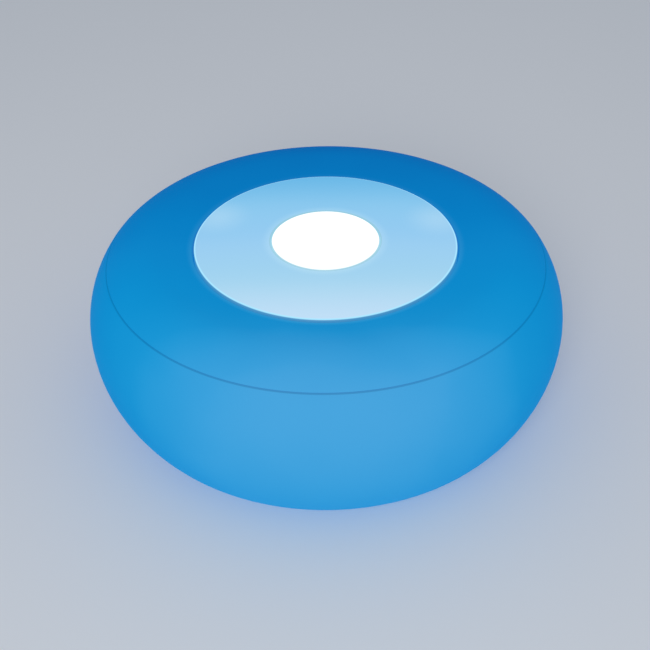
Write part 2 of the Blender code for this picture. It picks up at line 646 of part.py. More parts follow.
def tact_switch(body_material, plunger_material):
    top = LIGHT_Z + TACT_SIZE[2]
    body = piece("switch_body", block_at(0, 0, LIGHT_Z, TACT_SIZE, 0.3), body_material)
    cut(body, [rod(TACT_HOLE_R, top - TACT_HOLE_DEPTH, top + OVERRUN, facets=16)])
    plunger = rod(PLUNGER_R, top - PLUNGER_ROOT, PLUNGER_TOP_Z, facets=16)
    piece("switch_plunger", plunger, plunger_material, (0, 0, PLUNGER_TOP_Z))


def button_spring(material):
    """A coil spring round the switch, from the board to the underside of the button."""
    per_turn = 14
    low = LED_BOARD_Z[1] + GAP + SPRING_WIRE_R
    high = BUTTON_CAVITY_Z - GAP - SPRING_WIRE_R
    count = SPRING_TURNS * per_turn
    points = []
    for step in range(count + 1):
        x, y = on_circle(SPRING_R, 360 * step / per_turn)
        points.append((x, y, low + (high - low) * step / count))
    wire("button_spring", points, SPRING_WIRE_R, material)


# ---------------------------------------------------------------- screws


def screw_mesh(head_r, head_thick, shank_r, length, facets=10):
    """A pan-head screw with its head's bearing face at zero and its shank along +Z."""
    outline = [(0, -head_thick), (head_r * 0.7, -head_thick), (head_r, -head_thick * 0.55), (head_r, 0)]
    outline += [(shank_r, 0), (shank_r, length - shank_r), (shank_r * 0.3, length), (0, length)]
    return turned(outline, facets)


def screws(material):
    for number, angle in enumerate(BASE_SCREW_ANGLES, 1):
        x, y = on_circle(SCREW_CIRCLE_R, angle)
        screw = piece(f"base_screw_{number}", screw_mesh(*BASE_SCREW), material)
        screw.location = Vector((x, y, SCREW_SEAT_Z - GAP)) * MM
    for number, (x, y) in enumerate(POST_XY, 1):
        screw = piece(f"board_screw_{number}", screw_mesh(*BOARD_SCREW), material)
        screw.location = Vector((x, y, BOARD_Z[1] + GAP)) * MM
        screw.rotation_euler = (math.pi, 0, 0)
    for number, x in enumerate(LED_SCREW_X, 1):
        screw = piece(f"led_board_screw_{number}", screw_mesh(*LED_SCREW), material)
        screw.location = Vector((x, 0, LED_BOARD_Z[1] + GAP)) * MM
        screw.rotation_euler = (math.pi, 0, 0)


# ---------------------------------------------------------------- assembly


def finishes():
    return {
        "opal": finish("opal_shell", (0.12, 0.5, 0.85), 0.4, glow=(0.01, 0.16, 0.5)),
        "lens": finish("frosted_lens", (0.55, 0.82, 0.97), 0.3, glow=(0.15, 0.4, 0.7)),
        "button": finish("lit_button", (0.95, 0.98, 1.0), 0.35, glow=(0.9, 0.95, 1.0)),
        "silicone": finish("foot_silicone", (0.55, 0.57, 0.6), 0.8),
        "panel": finish("panel_plastic", (0.82, 0.84, 0.86), 0.5),
        "white": finish("white_plastic", (0.9, 0.9, 0.9), 0.55),
        "black": finish("black_plastic", (0.02, 0.02, 0.02), 0.5),
        "steel": finish("plated_steel", (0.7, 0.7, 0.72), 0.3, 1.0),
        "board": finish("board_green", (0.02, 0.18, 0.08), 0.45),
        "white_board": finish("board_white", (0.85, 0.86, 0.85), 0.5),
        "chip": finish("chip_epoxy", (0.03, 0.03, 0.035), 0.6),
        "ceramic": finish("grey_ceramic", (0.3, 0.3, 0.3), 0.7),
        "battery": finish("battery_foil", (0.55, 0.57, 0.6), 0.35, 0.7),
        "connector": finish("connector_nylon", (0.86, 0.83, 0.75), 0.55),
        "film": finish("ribbon_film", (0.8, 0.6, 0.3), 0.4),
        "red": finish("red_insulation", (0.6, 0.02, 0.02), 0.5),
        "white_led": finish("white_led", (0.95, 0.9, 0.6), 0.4, glow=(1.0, 1.0, 1.0)),
        "blue_led": finish("colour_led", (0.8, 0.85, 0.9), 0.4, glow=(0.1, 0.4, 1.0)),
    }


def main():
    for old in list(bpy.data.objects):
        bpy.data.objects.remove(old)
    materials = finishes()
    lower_shell(materials["opal"])
    upper_shell(materials["opal"])
    top_lens(materials["lens"])
    power_button(materials["button"])
    foot_ring(materials["silicone"])
    port_panel(materials["panel"])
    charge_socket(materials["steel"])
    audio_jack(materials["black"])
    slide_switch(materials["black"], materials["white"])
    chassis(materials["white"])
    core_cover(materials["white"])
    battery(materials["battery"], materials["connector"], materials["red"], materials["black"])
    main_board(materials["board"])
    board_parts(materials)
    ribbon(materials["connector"], materials["film"])
    light_pieces(materials)
    light_well(materials["white"])
    tact_switch(materials["black"], materials["connector"])
    button_spring(materials["steel"])
    screws(materials["steel"])


main()
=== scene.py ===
# %% [markdown]
# # A light-up wireless audio receiver
# The real thing is a squat round puck of opal plastic, lit blue from inside, with a frosted lens and a
# lit push button on top. Its working design was made beforehand as a set of plain solids, one for each
# real piece, and it is loaded here as a fixed frame. This lesson puts fine surfaces and finishes round
# that frame. Nothing here moves or resizes it: a new piece takes its place and size from it.

# %% Load the fixed frame
import json
import math

import bpy
from mathutils import Matrix, Vector


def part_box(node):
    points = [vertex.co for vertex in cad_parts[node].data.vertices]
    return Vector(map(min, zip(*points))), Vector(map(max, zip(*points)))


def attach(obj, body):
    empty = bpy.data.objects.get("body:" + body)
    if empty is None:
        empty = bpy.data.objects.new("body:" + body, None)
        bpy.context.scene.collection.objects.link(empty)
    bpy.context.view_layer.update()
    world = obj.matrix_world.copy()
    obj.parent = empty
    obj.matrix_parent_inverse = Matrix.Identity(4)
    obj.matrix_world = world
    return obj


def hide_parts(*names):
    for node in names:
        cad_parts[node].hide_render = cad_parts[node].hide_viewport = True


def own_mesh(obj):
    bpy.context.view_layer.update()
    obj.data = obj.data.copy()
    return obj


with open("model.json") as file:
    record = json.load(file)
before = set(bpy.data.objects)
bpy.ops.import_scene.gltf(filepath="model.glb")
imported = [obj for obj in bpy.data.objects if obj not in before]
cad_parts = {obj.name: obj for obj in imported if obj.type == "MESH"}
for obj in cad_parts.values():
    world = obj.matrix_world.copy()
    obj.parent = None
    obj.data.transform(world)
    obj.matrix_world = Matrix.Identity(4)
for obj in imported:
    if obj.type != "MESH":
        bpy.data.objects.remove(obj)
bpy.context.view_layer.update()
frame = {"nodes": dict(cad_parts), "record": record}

MM = 0.001


# %% [markdown]
# ## Sizes
# The frame says where each piece begins and ends, so the driving sizes are read from its boxes. What a
# box can't say is how the outside curves. On the real mould that is a chain of arcs, each one tangent
# to the next, so four radii and the angles where they meet are enough. Lengths are in millimetres here,
# because that is how such a part is drawn, and MM turns them into metres at the last moment.

# %% Read the driving sizes
def box_mm(node):
    """Lowest and highest corner of a frame piece, in millimetres."""
    low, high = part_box(node)
    return low / MM, high / MM


lower_low, lower_high = box_mm("lower_shell")
lens_low, lens_high = box_mm("top_lens")
panel_low, panel_high = box_mm("port_panel")
upper_high = box_mm("upper_shell")[1]
button_high = box_mm("power_button")[1]
foot_high = box_mm("foot_ring")[1]

BODY_R = lower_high.x
BOTTOM_Z = lower_low.z
GAP = 0.3
PARTING_Z = lower_high.z + GAP / 2
WALL = 2.2
EQUATOR_Z = 24.5
LOWER_SIDE_R, UPPER_SIDE_R, SHOULDER_R = 31.7, 26.9, 13.7
LOWER_TURN, UPPER_TURN, DISH_TURN = 35.0, 33.6, 100.0
print(f"body {2 * BODY_R:.1f} mm across, {upper_high.z:.1f} mm high, shells part at {PARTING_Z:.2f} mm")


# %% [markdown]
# Each arc's centre follows from the arc before it: two tangent arcs and their centres lie on one line.
# The bottom corner has to end level with the table side of the shell, and that sets its radius.

# %% Work out the arcs
def polar(centre, radius, degrees):
    angle = math.radians(degrees)
    return centre[0] + radius * math.cos(angle), centre[1] + radius * math.sin(angle)


LOWER_SIDE = (BODY_R - LOWER_SIDE_R, EQUATOR_Z)
UPPER_SIDE = (BODY_R - UPPER_SIDE_R, EQUATOR_Z)
corner_sine = math.sin(math.radians(LOWER_TURN))
CORNER_R = (EQUATOR_Z - BOTTOM_Z - LOWER_SIDE_R * corner_sine) / (1 - corner_sine)
CORNER = polar(LOWER_SIDE, LOWER_SIDE_R - CORNER_R, -LOWER_TURN)
SHOULDER = polar(UPPER_SIDE, UPPER_SIDE_R - SHOULDER_R, UPPER_TURN)
print(f"corner radius {CORNER_R:.2f} mm, crown of the shoulder at {SHOULDER[1] + SHOULDER_R:.2f} mm")


# %% [markdown]
# ## A pen for turned pieces
# Nearly every outer piece was made in a round mould, so it is a section turned about the middle. It
# could be built from stacked rings, but a section drawn once is closer to the drawing, and a change of
# one radius changes the whole piece. The pen below starts as a plane merged into a single vertex. A
# straight stretch extrudes the vertex, and an arc spins it round the arc's centre, as a compass does.
# Last, the whole section is spun about the Z axis. A spin leaves doubled vertices at its seam and on
# the axis, so they are merged before the faces are turned outwards.

# %% Make the pen
def nothing_selected():
    if bpy.context.mode != "OBJECT":
        bpy.ops.object.mode_set(mode="OBJECT")
    bpy.ops.object.select_all(action="DESELECT")


def choose(piece):
    nothing_selected()
    piece.select_set(True)
    bpy.context.view_layer.objects.active = piece


class Pen:
    """Draws a section as radius and height, in millimetres, and turns it into a solid."""

    def __init__(self, name, r, z):
        nothing_selected()
        bpy.ops.mesh.primitive_plane_add(size=MM)
        self.piece = bpy.context.object
        self.piece.name = self.piece.data.name = name
        bpy.ops.object.mode_set(mode="EDIT")
        bpy.ops.mesh.select_mode(type="VERT")
        bpy.ops.mesh.select_all(action="SELECT")
        bpy.ops.mesh.merge(type="CENTER")
        bpy.ops.transform.translate(value=(r * MM, 0, z * MM))
        self.first = self.last = (r, z)

    def to(self, *points):
        for r, z in points:
            step = ((r - self.last[0]) * MM, 0, (z - self.last[1]) * MM)
            bpy.ops.mesh.extrude_vertices_move(TRANSFORM_OT_translate={"value": step})
            self.last = (r, z)
        return self

    def arc(self, centre, degrees, steps):
        """Swings the pen round a centre: anticlockwise where degrees is positive."""
        bpy.ops.mesh.spin(
            steps=steps, angle=math.radians(abs(degrees)),
            center=(centre[0] * MM, 0, centre[1] * MM), axis=(0, math.copysign(1, degrees), 0),
        )
        r, z = self.last[0] - centre[0], self.last[1] - centre[1]
        turn = math.radians(degrees)
        self.last = (
            centre[0] + r * math.cos(turn) - z * math.sin(turn),
            centre[1] + r * math.sin(turn) + z * math.cos(turn),
        )
        return self

    def turned(self, facets=192):
        if self.first[0] > 0:
            self.to(self.first)
        bpy.ops.mesh.select_all(action="SELECT")
        bpy.ops.mesh.spin(steps=facets, angle=math.tau, center=(0, 0, 0), axis=(0, 0, 1), use_auto_merge=True)
        bpy.ops.mesh.select_all(action="SELECT")
        bpy.ops.mesh.remove_doubles(threshold=0.002 * MM)
        bpy.ops.mesh.normals_make_consistent(inside=False)
        bpy.ops.object.mode_set(mode="OBJECT")
        return self.piece


# %% [markdown]
# A few more tools are used on many pieces. Moulded plastic never has a razor edge, so `soften` bevels
# the ring of edges at a given radius and height, the way one would pick an edge loop by hand. `cut`
# and `join` run a Boolean and throw the tool away. `smooth` shades faces smooth up to an angle.

# %% Make the shared tools
FOLD, NEAR_RING, NEAR_FACE = 10, 0.02, 0.01


def edit_with_edges(piece, wanted):
    """Enters edit mode with only the folded edges that pass a test on their two ends, in millimetres."""
    choose(piece)
    mesh = piece.data
    ends = [vertex.co / MM for vertex in mesh.vertices]
    bpy.ops.object.mode_set(mode="EDIT")
    bpy.ops.mesh.select_mode(type="EDGE")
    bpy.ops.mesh.select_all(action="DESELECT")
    bpy.ops.mesh.edges_select_sharp(sharpness=math.radians(FOLD))
    bpy.ops.object.mode_set(mode="OBJECT")
    folded = [edge.index for edge in mesh.edges if edge.select]
    bpy.ops.object.mode_set(mode="EDIT")
    bpy.ops.mesh.select_all(action="DESELECT")
    bpy.ops.object.mode_set(mode="OBJECT")
    found = 0
    for index in folded:
        edge = mesh.edges[index]
        edge.select = wanted(ends[edge.vertices[0]], ends[edge.vertices[1]])
        found += edge.select
    bpy.ops.object.mode_set(mode="EDIT")
    return found


def bevel_chosen(width, segments):
    """Bevels the edges that were chosen in edit mode, then leaves edit mode."""
    bpy.ops.mesh.bevel(offset=width * MM, segments=segments, affect="EDGES")
    bpy.ops.object.mode_set(mode="OBJECT")


def soften(piece, rings, width, segments=3):
    """Bevels rings of edges, each given as radius and height."""
    def on_ring(a, b):
        return any(
            abs(math.hypot(end.x, end.y) - r) < NEAR_RING and abs(end.z - z) < NEAR_RING
            for r, z in rings for end in (a, b)
        ) and abs(math.hypot(a.x, a.y) - math.hypot(b.x, b.y)) < NEAR_RING and abs(a.z - b.z) < NEAR_RING

    found = edit_with_edges(piece, on_ring)
    bevel_chosen(width, segments)
    print(f"{piece.name}: softened {found} edges by {width} mm")


def smooth(piece, degrees=35):
    choose(piece)
    bpy.ops.object.shade_smooth_by_angle(angle=math.radians(degrees))
    return piece


def boolean(piece, operation, tools):
    for tool in tools:
        choose(piece)
        bpy.ops.object.modifier_add(type="BOOLEAN")
        modifier = piece.modifiers[-1]
        modifier.operation = operation
        modifier.object = tool
        bpy.ops.object.modifier_apply(modifier=modifier.name)
        bpy.data.objects.remove(tool)
    return piece


def cut(piece, *tools):
    return boolean(piece, "DIFFERENCE", tools)


def join(piece, *tools):
    return boolean(piece, "UNION", tools)


def gather(piece, *others):
    """Joins pieces as they are, without a Boolean."""
    choose(piece)
    for other in others:
        other.select_set(True)
    bpy.ops.object.join()
    return piece


def place_in_mesh(piece):
    choose(piece)
    bpy.ops.object.transform_apply(location=True, rotation=True, scale=True)
    return piece


def copied(piece, name, move, turn=(0, 0, 0)):
    """A copy with its own mesh, turned about X, Y and Z in degrees and then moved in millimetres."""
    choose(piece)
    bpy.ops.object.duplicate(linked=False)
    copy = bpy.context.object
    copy.name = copy.data.name = name
    copy.rotation_euler = [math.radians(angle) for angle in turn]
    copy.location = Vector(move) * MM
    return place_in_mesh(copy)


# %% [markdown]
# Sockets, slots and screw holes need two plain tools: a rod and a block. Both start as a primitive at
# its size and place. The block's corners along one axis are rounded by selecting the edges that run
# that way and bevelling them.

# %% Make rods and blocks
def rod(name, radius, low, high, x=0.0, y=0.0, along="Z", facets=32):
    """A round bar from low to high along Z, or along Y with y then standing for its height."""
    nothing_selected()
    middle = (low + high) / 2
    place, turn = ((x, y, middle), 0) if along == "Z" else ((x, middle, y), math.pi / 2)
    bpy.ops.mesh.primitive_cylinder_add(
        vertices=facets, radius=radius * MM, depth=(high - low) * MM,
        location=Vector(place) * MM, rotation=(turn, 0, 0),
    )
    piece = bpy.context.object
    piece.name = piece.data.name = name
    return place_in_mesh(piece)


def block(name, low, high, radius=0.0, along="Y", segments=6):
    """A box between two corners, with its edges along one axis rounded."""
    nothing_selected()
    low, high = Vector(low), Vector(high)
    bpy.ops.mesh.primitive_cube_add(size=1, location=(low + high) / 2 * MM, scale=(high - low) * MM)
    piece = bpy.context.object
    piece.name = piece.data.name = name
    place_in_mesh(piece)
    if radius:
        index = "XYZ".index(along)
        edit_with_edges(piece, lambda a, b: abs(a[index] - b[index]) > (high - low)[index] / 2)
        bevel_chosen(radius, segments)
    return piece


# %% [markdown]
# ## The lower shell
# The bowl is one moulding, 2.2 mm thick, and its wall curls in over the widest level and stops at the
# parting line. The section is drawn from the middle of the underside outwards, up the outside, over
# the rim and back down the inside. Three bosses stand on the floor for the screws that hold the inner
# core, and their heads sink into the groove that the foot ring covers. Each hole is given as its radius
# and the heights it runs between.

# %% Draw the lower shell's section and turn it
def angle_at(centre, radius, z):
    return math.degrees(math.asin((z - centre[1]) / radius))


GROOVE_IN, GROOVE_OUT, GROOVE_TOP = 34.4, foot_high.x + GAP, BOTTOM_Z + 1.0
lower_rim_z = PARTING_Z - GAP / 2
outer_end = angle_at(SHOULDER, SHOULDER_R, lower_rim_z) - UPPER_TURN
inner_end = angle_at(SHOULDER, SHOULDER_R - WALL, lower_rim_z) - UPPER_TURN
rim_outer = polar(SHOULDER, SHOULDER_R, outer_end + UPPER_TURN)
rim_inner = polar(SHOULDER, SHOULDER_R - WALL, inner_end + UPPER_TURN)

pen = Pen("lower_shell_skin", 0, BOTTOM_Z)
pen.to((GROOVE_IN, BOTTOM_Z), (GROOVE_IN, GROOVE_TOP), (GROOVE_OUT, GROOVE_TOP), (GROOVE_OUT, BOTTOM_Z))
pen.to((CORNER[0], BOTTOM_Z))
pen.arc(CORNER, 90 - LOWER_TURN, 12).arc(LOWER_SIDE, LOWER_TURN, 10).arc(UPPER_SIDE, UPPER_TURN, 10)
pen.arc(SHOULDER, outer_end, 4).to(rim_inner)
pen.arc(SHOULDER, -inner_end, 4).arc(UPPER_SIDE, -UPPER_TURN, 8).arc(LOWER_SIDE, -LOWER_TURN, 8)
pen.arc(CORNER, LOWER_TURN - 90, 8).to((0, BOTTOM_Z + WALL))
lower_shell = pen.turned()
soften(lower_shell, [rim_outer], 0.12)
soften(lower_shell, [(GROOVE_IN, BOTTOM_Z), (GROOVE_OUT, BOTTOM_Z)], 0.2, 2)
print(f"rim from radius {rim_inner[0]:.2f} to {rim_outer[0]:.2f} mm at {lower_rim_z:.2f} mm")

# %% Add its bosses and cut the screw holes and the socket opening
SCREW_CIRCLE_R, SCREW_ANGLES = 37.6, (30.0, 150.0, 270.0)
BOSS_R, BOSS_SUNK, BOSS_TOP_Z = 4.2, 0.5, 6.5
HEAD_HOLE, SHANK_HOLE = (2.95, 0, 4.6), (1.7, 4, 8)
PANEL_FLANGE = (1.6, 1.4)
for angle in SCREW_ANGLES:
    x, y = polar((0, 0), SCREW_CIRCLE_R, angle)
    join(lower_shell, rod("boss", BOSS_R, BOTTOM_Z + WALL - BOSS_SUNK, BOSS_TOP_Z, x, y))
    cut(lower_shell, rod("sink", *HEAD_HOLE, x, y), rod("hole", *SHANK_HOLE, x, y))
opening_low = (panel_low.x + PANEL_FLANGE[0] - GAP, panel_low.y, panel_low.z + PANEL_FLANGE[1] - GAP)
opening_high = (panel_high.x - PANEL_FLANGE[0] + GAP, BODY_R + 4, panel_high.z - PANEL_FLANGE[1] + GAP)
cut(lower_shell, block("opening", opening_low, opening_high, 1.5))
smooth(lower_shell, 30)
print("lower shell:", len(lower_shell.data.polygons), "faces")


# %% [markdown]
# ## The upper shell
# The upper moulding starts at the parting line, rolls over the shoulder and falls at ten degrees to the
# lip that frames the lens. Under the lip is a ledge for the lens, and a skirt reaches down inside the
# lower shell, so no straight view goes in through the gap. Its lip is rounded with a small arc, tangent
# to the dish.

# %% Draw the upper shell's section and turn it
LEDGE_R, LEDGE_THICK = 29.5, 2.2
SKIRT_OUTER_R, SKIRT_INNER_R, SKIRT_LOW_Z = 50.8, 48.7, 37.5
LIP_ROUND = 0.5
upper_rim_z = PARTING_Z + GAP / 2
recess_r = lens_high.x + GAP
ledge_z = lens_low.z - GAP
rim_angle = angle_at(SHOULDER, SHOULDER_R, upper_rim_z)
upper_rim = polar(SHOULDER, SHOULDER_R, rim_angle)
dish_top = polar(SHOULDER, SHOULDER_R, DISH_TURN)
dish_slope = math.tan(math.radians(DISH_TURN - 90))


def dish_z(r):
    return dish_top[1] - (dish_top[0] - r) * dish_slope


lip_r = recess_r + LIP_ROUND * (1 + math.cos(math.radians(DISH_TURN)))
lip = (lip_r, dish_z(lip_r))
lip_centre = (recess_r + LIP_ROUND, lip[1] - LIP_ROUND * math.sin(math.radians(DISH_TURN)))
skirt_angle = math.degrees(math.acos((SKIRT_INNER_R - SHOULDER[0]) / (SHOULDER_R - WALL)))

halfway_r = (lip[0] + dish_top[0]) / 2
pen = Pen("upper_shell_skin", *upper_rim)
pen.arc(SHOULDER, DISH_TURN - rim_angle, 20).to((halfway_r, dish_z(halfway_r)))
pen.to(lip).arc(lip_centre, 180 - DISH_TURN, 6)
pen.to((recess_r, ledge_z), (LEDGE_R, ledge_z), (LEDGE_R, ledge_z - LEDGE_THICK))
pen.to((recess_r + WALL, ledge_z - LEDGE_THICK), (recess_r + WALL, dish_z(recess_r) - WALL))
pen.to(polar(SHOULDER, SHOULDER_R - WALL, DISH_TURN)).arc(SHOULDER, skirt_angle - DISH_TURN, 8)
pen.to((SKIRT_INNER_R, SKIRT_LOW_Z), (SKIRT_OUTER_R, SKIRT_LOW_Z), (SKIRT_OUTER_R, upper_rim_z))
upper_shell = pen.turned()
soften(upper_shell, [upper_rim], 0.12)
soften(upper_shell, [(SKIRT_OUTER_R, SKIRT_LOW_Z), (SKIRT_INNER_R, SKIRT_LOW_Z)], 0.3, 2)
smooth(upper_shell, 30)
print(f"lip radius {recess_r:.1f} mm at {lip[1]:.2f} mm, dish falls from {dish_top[1]:.2f} mm")


# %% [markdown]
# ## The lens
# The frosted ring round the button is a separate pressing of clear acrylic, sanded on its underside. Its
# top is very slightly crowned, about 0.4 mm over 19 mm, so a long flat arc draws it. Both of its top
# edges are rounded, and the outer one is what catches the light.

# %% Turn the lens
def crown_arc(inner_r, outer_r, outer_z, rise):
    """Centre and angle of the flat arc that falls by rise from inner_r to outer_r."""
    run = outer_r - inner_r
    radius = (run * run + rise * rise) / (2 * rise)
    return (inner_r, outer_z + rise - radius), math.degrees(math.asin(run / radius))


LENS_EDGE_Z, LENS_ROUND, BORE_ROUND = 44.2, 0.5, 0.25
BORE_R = 13.4 + GAP
lens_r = lens_high.x
lens_crown = lens_high.z - LENS_EDGE_Z
crown_centre, crown_angle = crown_arc(BORE_R + BORE_ROUND, lens_r - LENS_ROUND, LENS_EDGE_Z, lens_crown)
pen = Pen("top_lens_skin", lens_r, lens_low.z)
pen.to((lens_r, LENS_EDGE_Z - LENS_ROUND)).arc((lens_r - LENS_ROUND, LENS_EDGE_Z - LENS_ROUND), 90, 8)
pen.arc(crown_centre, crown_angle, 12)
pen.arc((BORE_R + BORE_ROUND, lens_high.z - BORE_ROUND), 90, 6).to((BORE_R, lens_low.z))
top_lens = smooth(pen.turned(), 30)
print(f"lens {2 * lens_r:.1f} mm across with a {2 * BORE_R:.1f} mm bore")


# %% [markdown]
# ## The push button
# The button is a shallow cap. It is hollow underneath to let light in, a flange keeps it from coming
# out through the lens, and a stem in the middle presses the switch. Its section starts on the axis,
# at the top of the crown.

# %% Turn the button
BUTTON_EDGE_Z, BUTTON_ROUND = 44.8, 0.6
CAVITY_R, CAVITY_Z, STEM_R, STEM_LOW_Z, FLANGE_THICK = 11.8, 42.6, 1.8, 39.6, 1.2
button_r = BORE_R - GAP
flange_r = button_high.x
flange_z = lens_low.z - GAP
button_crown = button_high.z - BUTTON_EDGE_Z
button_centre, button_angle = crown_arc(0, button_r - BUTTON_ROUND, BUTTON_EDGE_Z, button_crown)
pen = Pen("power_button_cap", 0, button_high.z)
pen.arc(button_centre, -button_angle, 8)
pen.arc((button_r - BUTTON_ROUND, BUTTON_EDGE_Z - BUTTON_ROUND), -90, 8)
pen.to((button_r, flange_z), (flange_r, flange_z), (flange_r, flange_z - FLANGE_THICK))
pen.to((CAVITY_R, flange_z - FLANGE_THICK), (CAVITY_R, CAVITY_Z), (STEM_R, CAVITY_Z))
pen.to((STEM_R, STEM_LOW_Z), (0, STEM_LOW_Z))
power_button = smooth(pen.turned(128), 30)
print(f"button {2 * button_r:.1f} mm across, crown {button_crown:.1f} mm")


# %% [markdown]
# ## The foot ring
# A soft silicone ring is pressed into the groove underneath. Three shallow grooves round it give it
# grip, and they are part of its section.

# %% Turn the foot ring
FOOT_EDGE, RIB, RIB_DEEP = 0.4, 0.5, 0.3
foot_in, foot_out, foot_top = GROOVE_IN + GAP, foot_high.x, foot_high.z
pen = Pen("foot_ring_silicone", foot_in, foot_top)
pen.to((foot_in, FOOT_EDGE), (foot_in + FOOT_EDGE, 0))
for share in (0.25, 0.5, 0.75):
    middle = foot_in + share * (foot_out - foot_in)
    pen.to((middle - RIB, 0), (middle - RIB / 2, RIB_DEEP), (middle + RIB / 2, RIB_DEEP), (middle + RIB, 0))
pen.to((foot_out - FOOT_EDGE, 0), (foot_out, FOOT_EDGE), (foot_out, foot_top))
foot_ring = smooth(pen.turned(128), 30)
print(f"foot ring {foot_in:.1f} to {foot_out:.1f} mm")


# %% [markdown]
# ## The socket panel
# The sockets at the back share one small plastic panel, so the big shell needs only one opening. It is a
# shallow tray with a flange that stops behind the shell's wall. A block with rounded corners is cut
# hollow from behind and then cut through for each socket. The edges of the face are eased all at once,
# because they are simply the edges that lie on the face. Two raised marks over the switch, a bar for on
# and a ring for off, are a rod and a torus sunk almost half into the face. They are joined as they are:
# a union would only break up the face.

# %% Model the panel
def soften_face(piece, index, level, width, segments=3):
    """Eases the edges that lie on one flat face, at a level along X, Y or Z, in millimetres."""
    def on_face(a, b):
        return abs(a[index] - level) < NEAR_FACE and abs(b[index] - level) < NEAR_FACE

    found = edit_with_edges(piece, on_face)
    bevel_chosen(width, segments)
    print(f"{piece.name}: eased {found} edges of its face by {width} mm")


PANEL_WALL, PANEL_FRONT, PANEL_FLANGE_THICK, PANEL_ROUND = 1.2, 1.6, 1.6, 1.2
panel_face, panel_back = panel_high.y, panel_low.y + 0.1
face_low = Vector((panel_low.x + PANEL_FLANGE[0], panel_back, panel_low.z + PANEL_FLANGE[1]))
face_high = Vector((panel_high.x - PANEL_FLANGE[0], panel_face, panel_high.z - PANEL_FLANGE[1]))
wall = Vector((PANEL_WALL, 0, PANEL_WALL))
charge_low, charge_high = box_mm("charge_socket")
jack_low, jack_high = box_mm("audio_jack")
knob_low, knob_high = box_mm("slide_switch_knob")
switch_low, switch_high = box_mm("slide_switch_body")
charge_middle = (charge_low + charge_high) / 2
jack_middle = (jack_low + jack_high) / 2
switch_middle = (switch_low + switch_high) / 2
port_panel = block("port_panel_tray", face_low, face_high, PANEL_ROUND)
flange_low, flange_high = Vector(panel_low), Vector(panel_high)
flange_high.y = panel_back + PANEL_FLANGE_THICK
join(port_panel, block("flange", flange_low, flange_high, PANEL_ROUND))
inside_low, inside_high = face_low + wall, face_high - wall
inside_low.y, inside_high.y = panel_low.y - 1, panel_face - PANEL_FRONT
cut(port_panel, block("inside", inside_low, inside_high, 0.4))
print(f"panel {face_high.x - face_low.x:.1f} by {face_high.z - face_low.z:.1f} mm")

# %% Cut its openings
CHARGE_HALF, CHARGE_ROUND, JACK_HOLE_R = (4.8, 1.9), 1.8, 2.8
KNOB_SLOT_HALF, KNOB_SLOT_ROUND = (2.5, 1.0), 0.3


def through(half_x, half_z, middle, radius):
    low = (middle.x - half_x, panel_low.y, middle.z - half_z)
    return block("through", low, (middle.x + half_x, panel_face + 1, middle.z + half_z), radius)


cut(port_panel, through(*CHARGE_HALF, charge_middle, CHARGE_ROUND))
cut(port_panel, through(*KNOB_SLOT_HALF, switch_middle, KNOB_SLOT_ROUND))
jack_place = (jack_middle.x, jack_middle.z, "Y", 48)
cut(port_panel, rod("jack_hole", JACK_HOLE_R, panel_low.y, panel_face + 1, *jack_place))

# %% Raise the marks above the switch
MARK_HALF, STROKE_R, MARK_SUNK, SWITCH_TRAVEL = 0.62, 0.14, 0.04, 2.0
soften_face(port_panel, 1, panel_face, 0.25)
mark_y, mark_z = panel_face - MARK_SUNK, (switch_middle.z + KNOB_SLOT_HALF[1] + face_high.z) / 2
on_x = (knob_low.x + knob_high.x) / 2
off_x = on_x + SWITCH_TRAVEL
bar_half = MARK_HALF + STROKE_R
bar = rod("bar", STROKE_R, mark_z - bar_half, mark_z + bar_half, on_x, mark_y, facets=12)
nothing_selected()
bpy.ops.mesh.primitive_torus_add(
    major_segments=32, minor_segments=12, major_radius=MARK_HALF * MM, minor_radius=STROKE_R * MM,
    location=Vector((off_x, mark_y, mark_z)) * MM, rotation=(math.pi / 2, 0, 0),
)
ring = place_in_mesh(bpy.context.object)
smooth(gather(port_panel, bar, ring), 30)
print(f"marks {STROKE_R - MARK_SUNK:.2f} mm proud over the switch")


# %% [markdown]
# ## The sockets and the switch knob
# The charging socket is a folded steel shell with a rounded lip and a thin tongue that carries the
# contacts. The audio socket is a moulded block with a barrel in front, countersunk at its mouth. The
# slide switch's knob is ribbed for a fingernail: its ribs are made by notches cut across the tip.

# %% Model the charging socket
SHELL_ROUND, MOUTH_ROUND, SHEET, MOUTH_DEEP = 1.55, 1.25, 0.32, 6
TONGUE_HALF_X, TONGUE_HALF_Z, TONGUE_BACK = 3.35, 0.35, 1.4
charge_socket = block("charge_socket_shell", charge_low, charge_high, SHELL_ROUND, segments=8)
mouth_low = Vector((charge_low.x + GAP, charge_high.y - MOUTH_DEEP, charge_low.z + SHEET))
mouth_high = Vector((charge_high.x - GAP, charge_high.y + 1, charge_high.z - SHEET))
cut(charge_socket, block("mouth", mouth_low, mouth_high, MOUTH_ROUND, segments=8))
soften_face(charge_socket, 1, charge_high.y, 0.08, 2)
tongue_root, tongue_tip = charge_high.y - MOUTH_DEEP - 0.4, charge_high.y - TONGUE_BACK
tongue_low = (charge_middle.x - TONGUE_HALF_X, tongue_root, charge_middle.z - TONGUE_HALF_Z)
tongue_high = (charge_middle.x + TONGUE_HALF_X, tongue_tip, charge_middle.z + TONGUE_HALF_Z)
join(charge_socket, block("tongue", tongue_low, tongue_high, 0.15, "Z", 2))
smooth(charge_socket, 30)

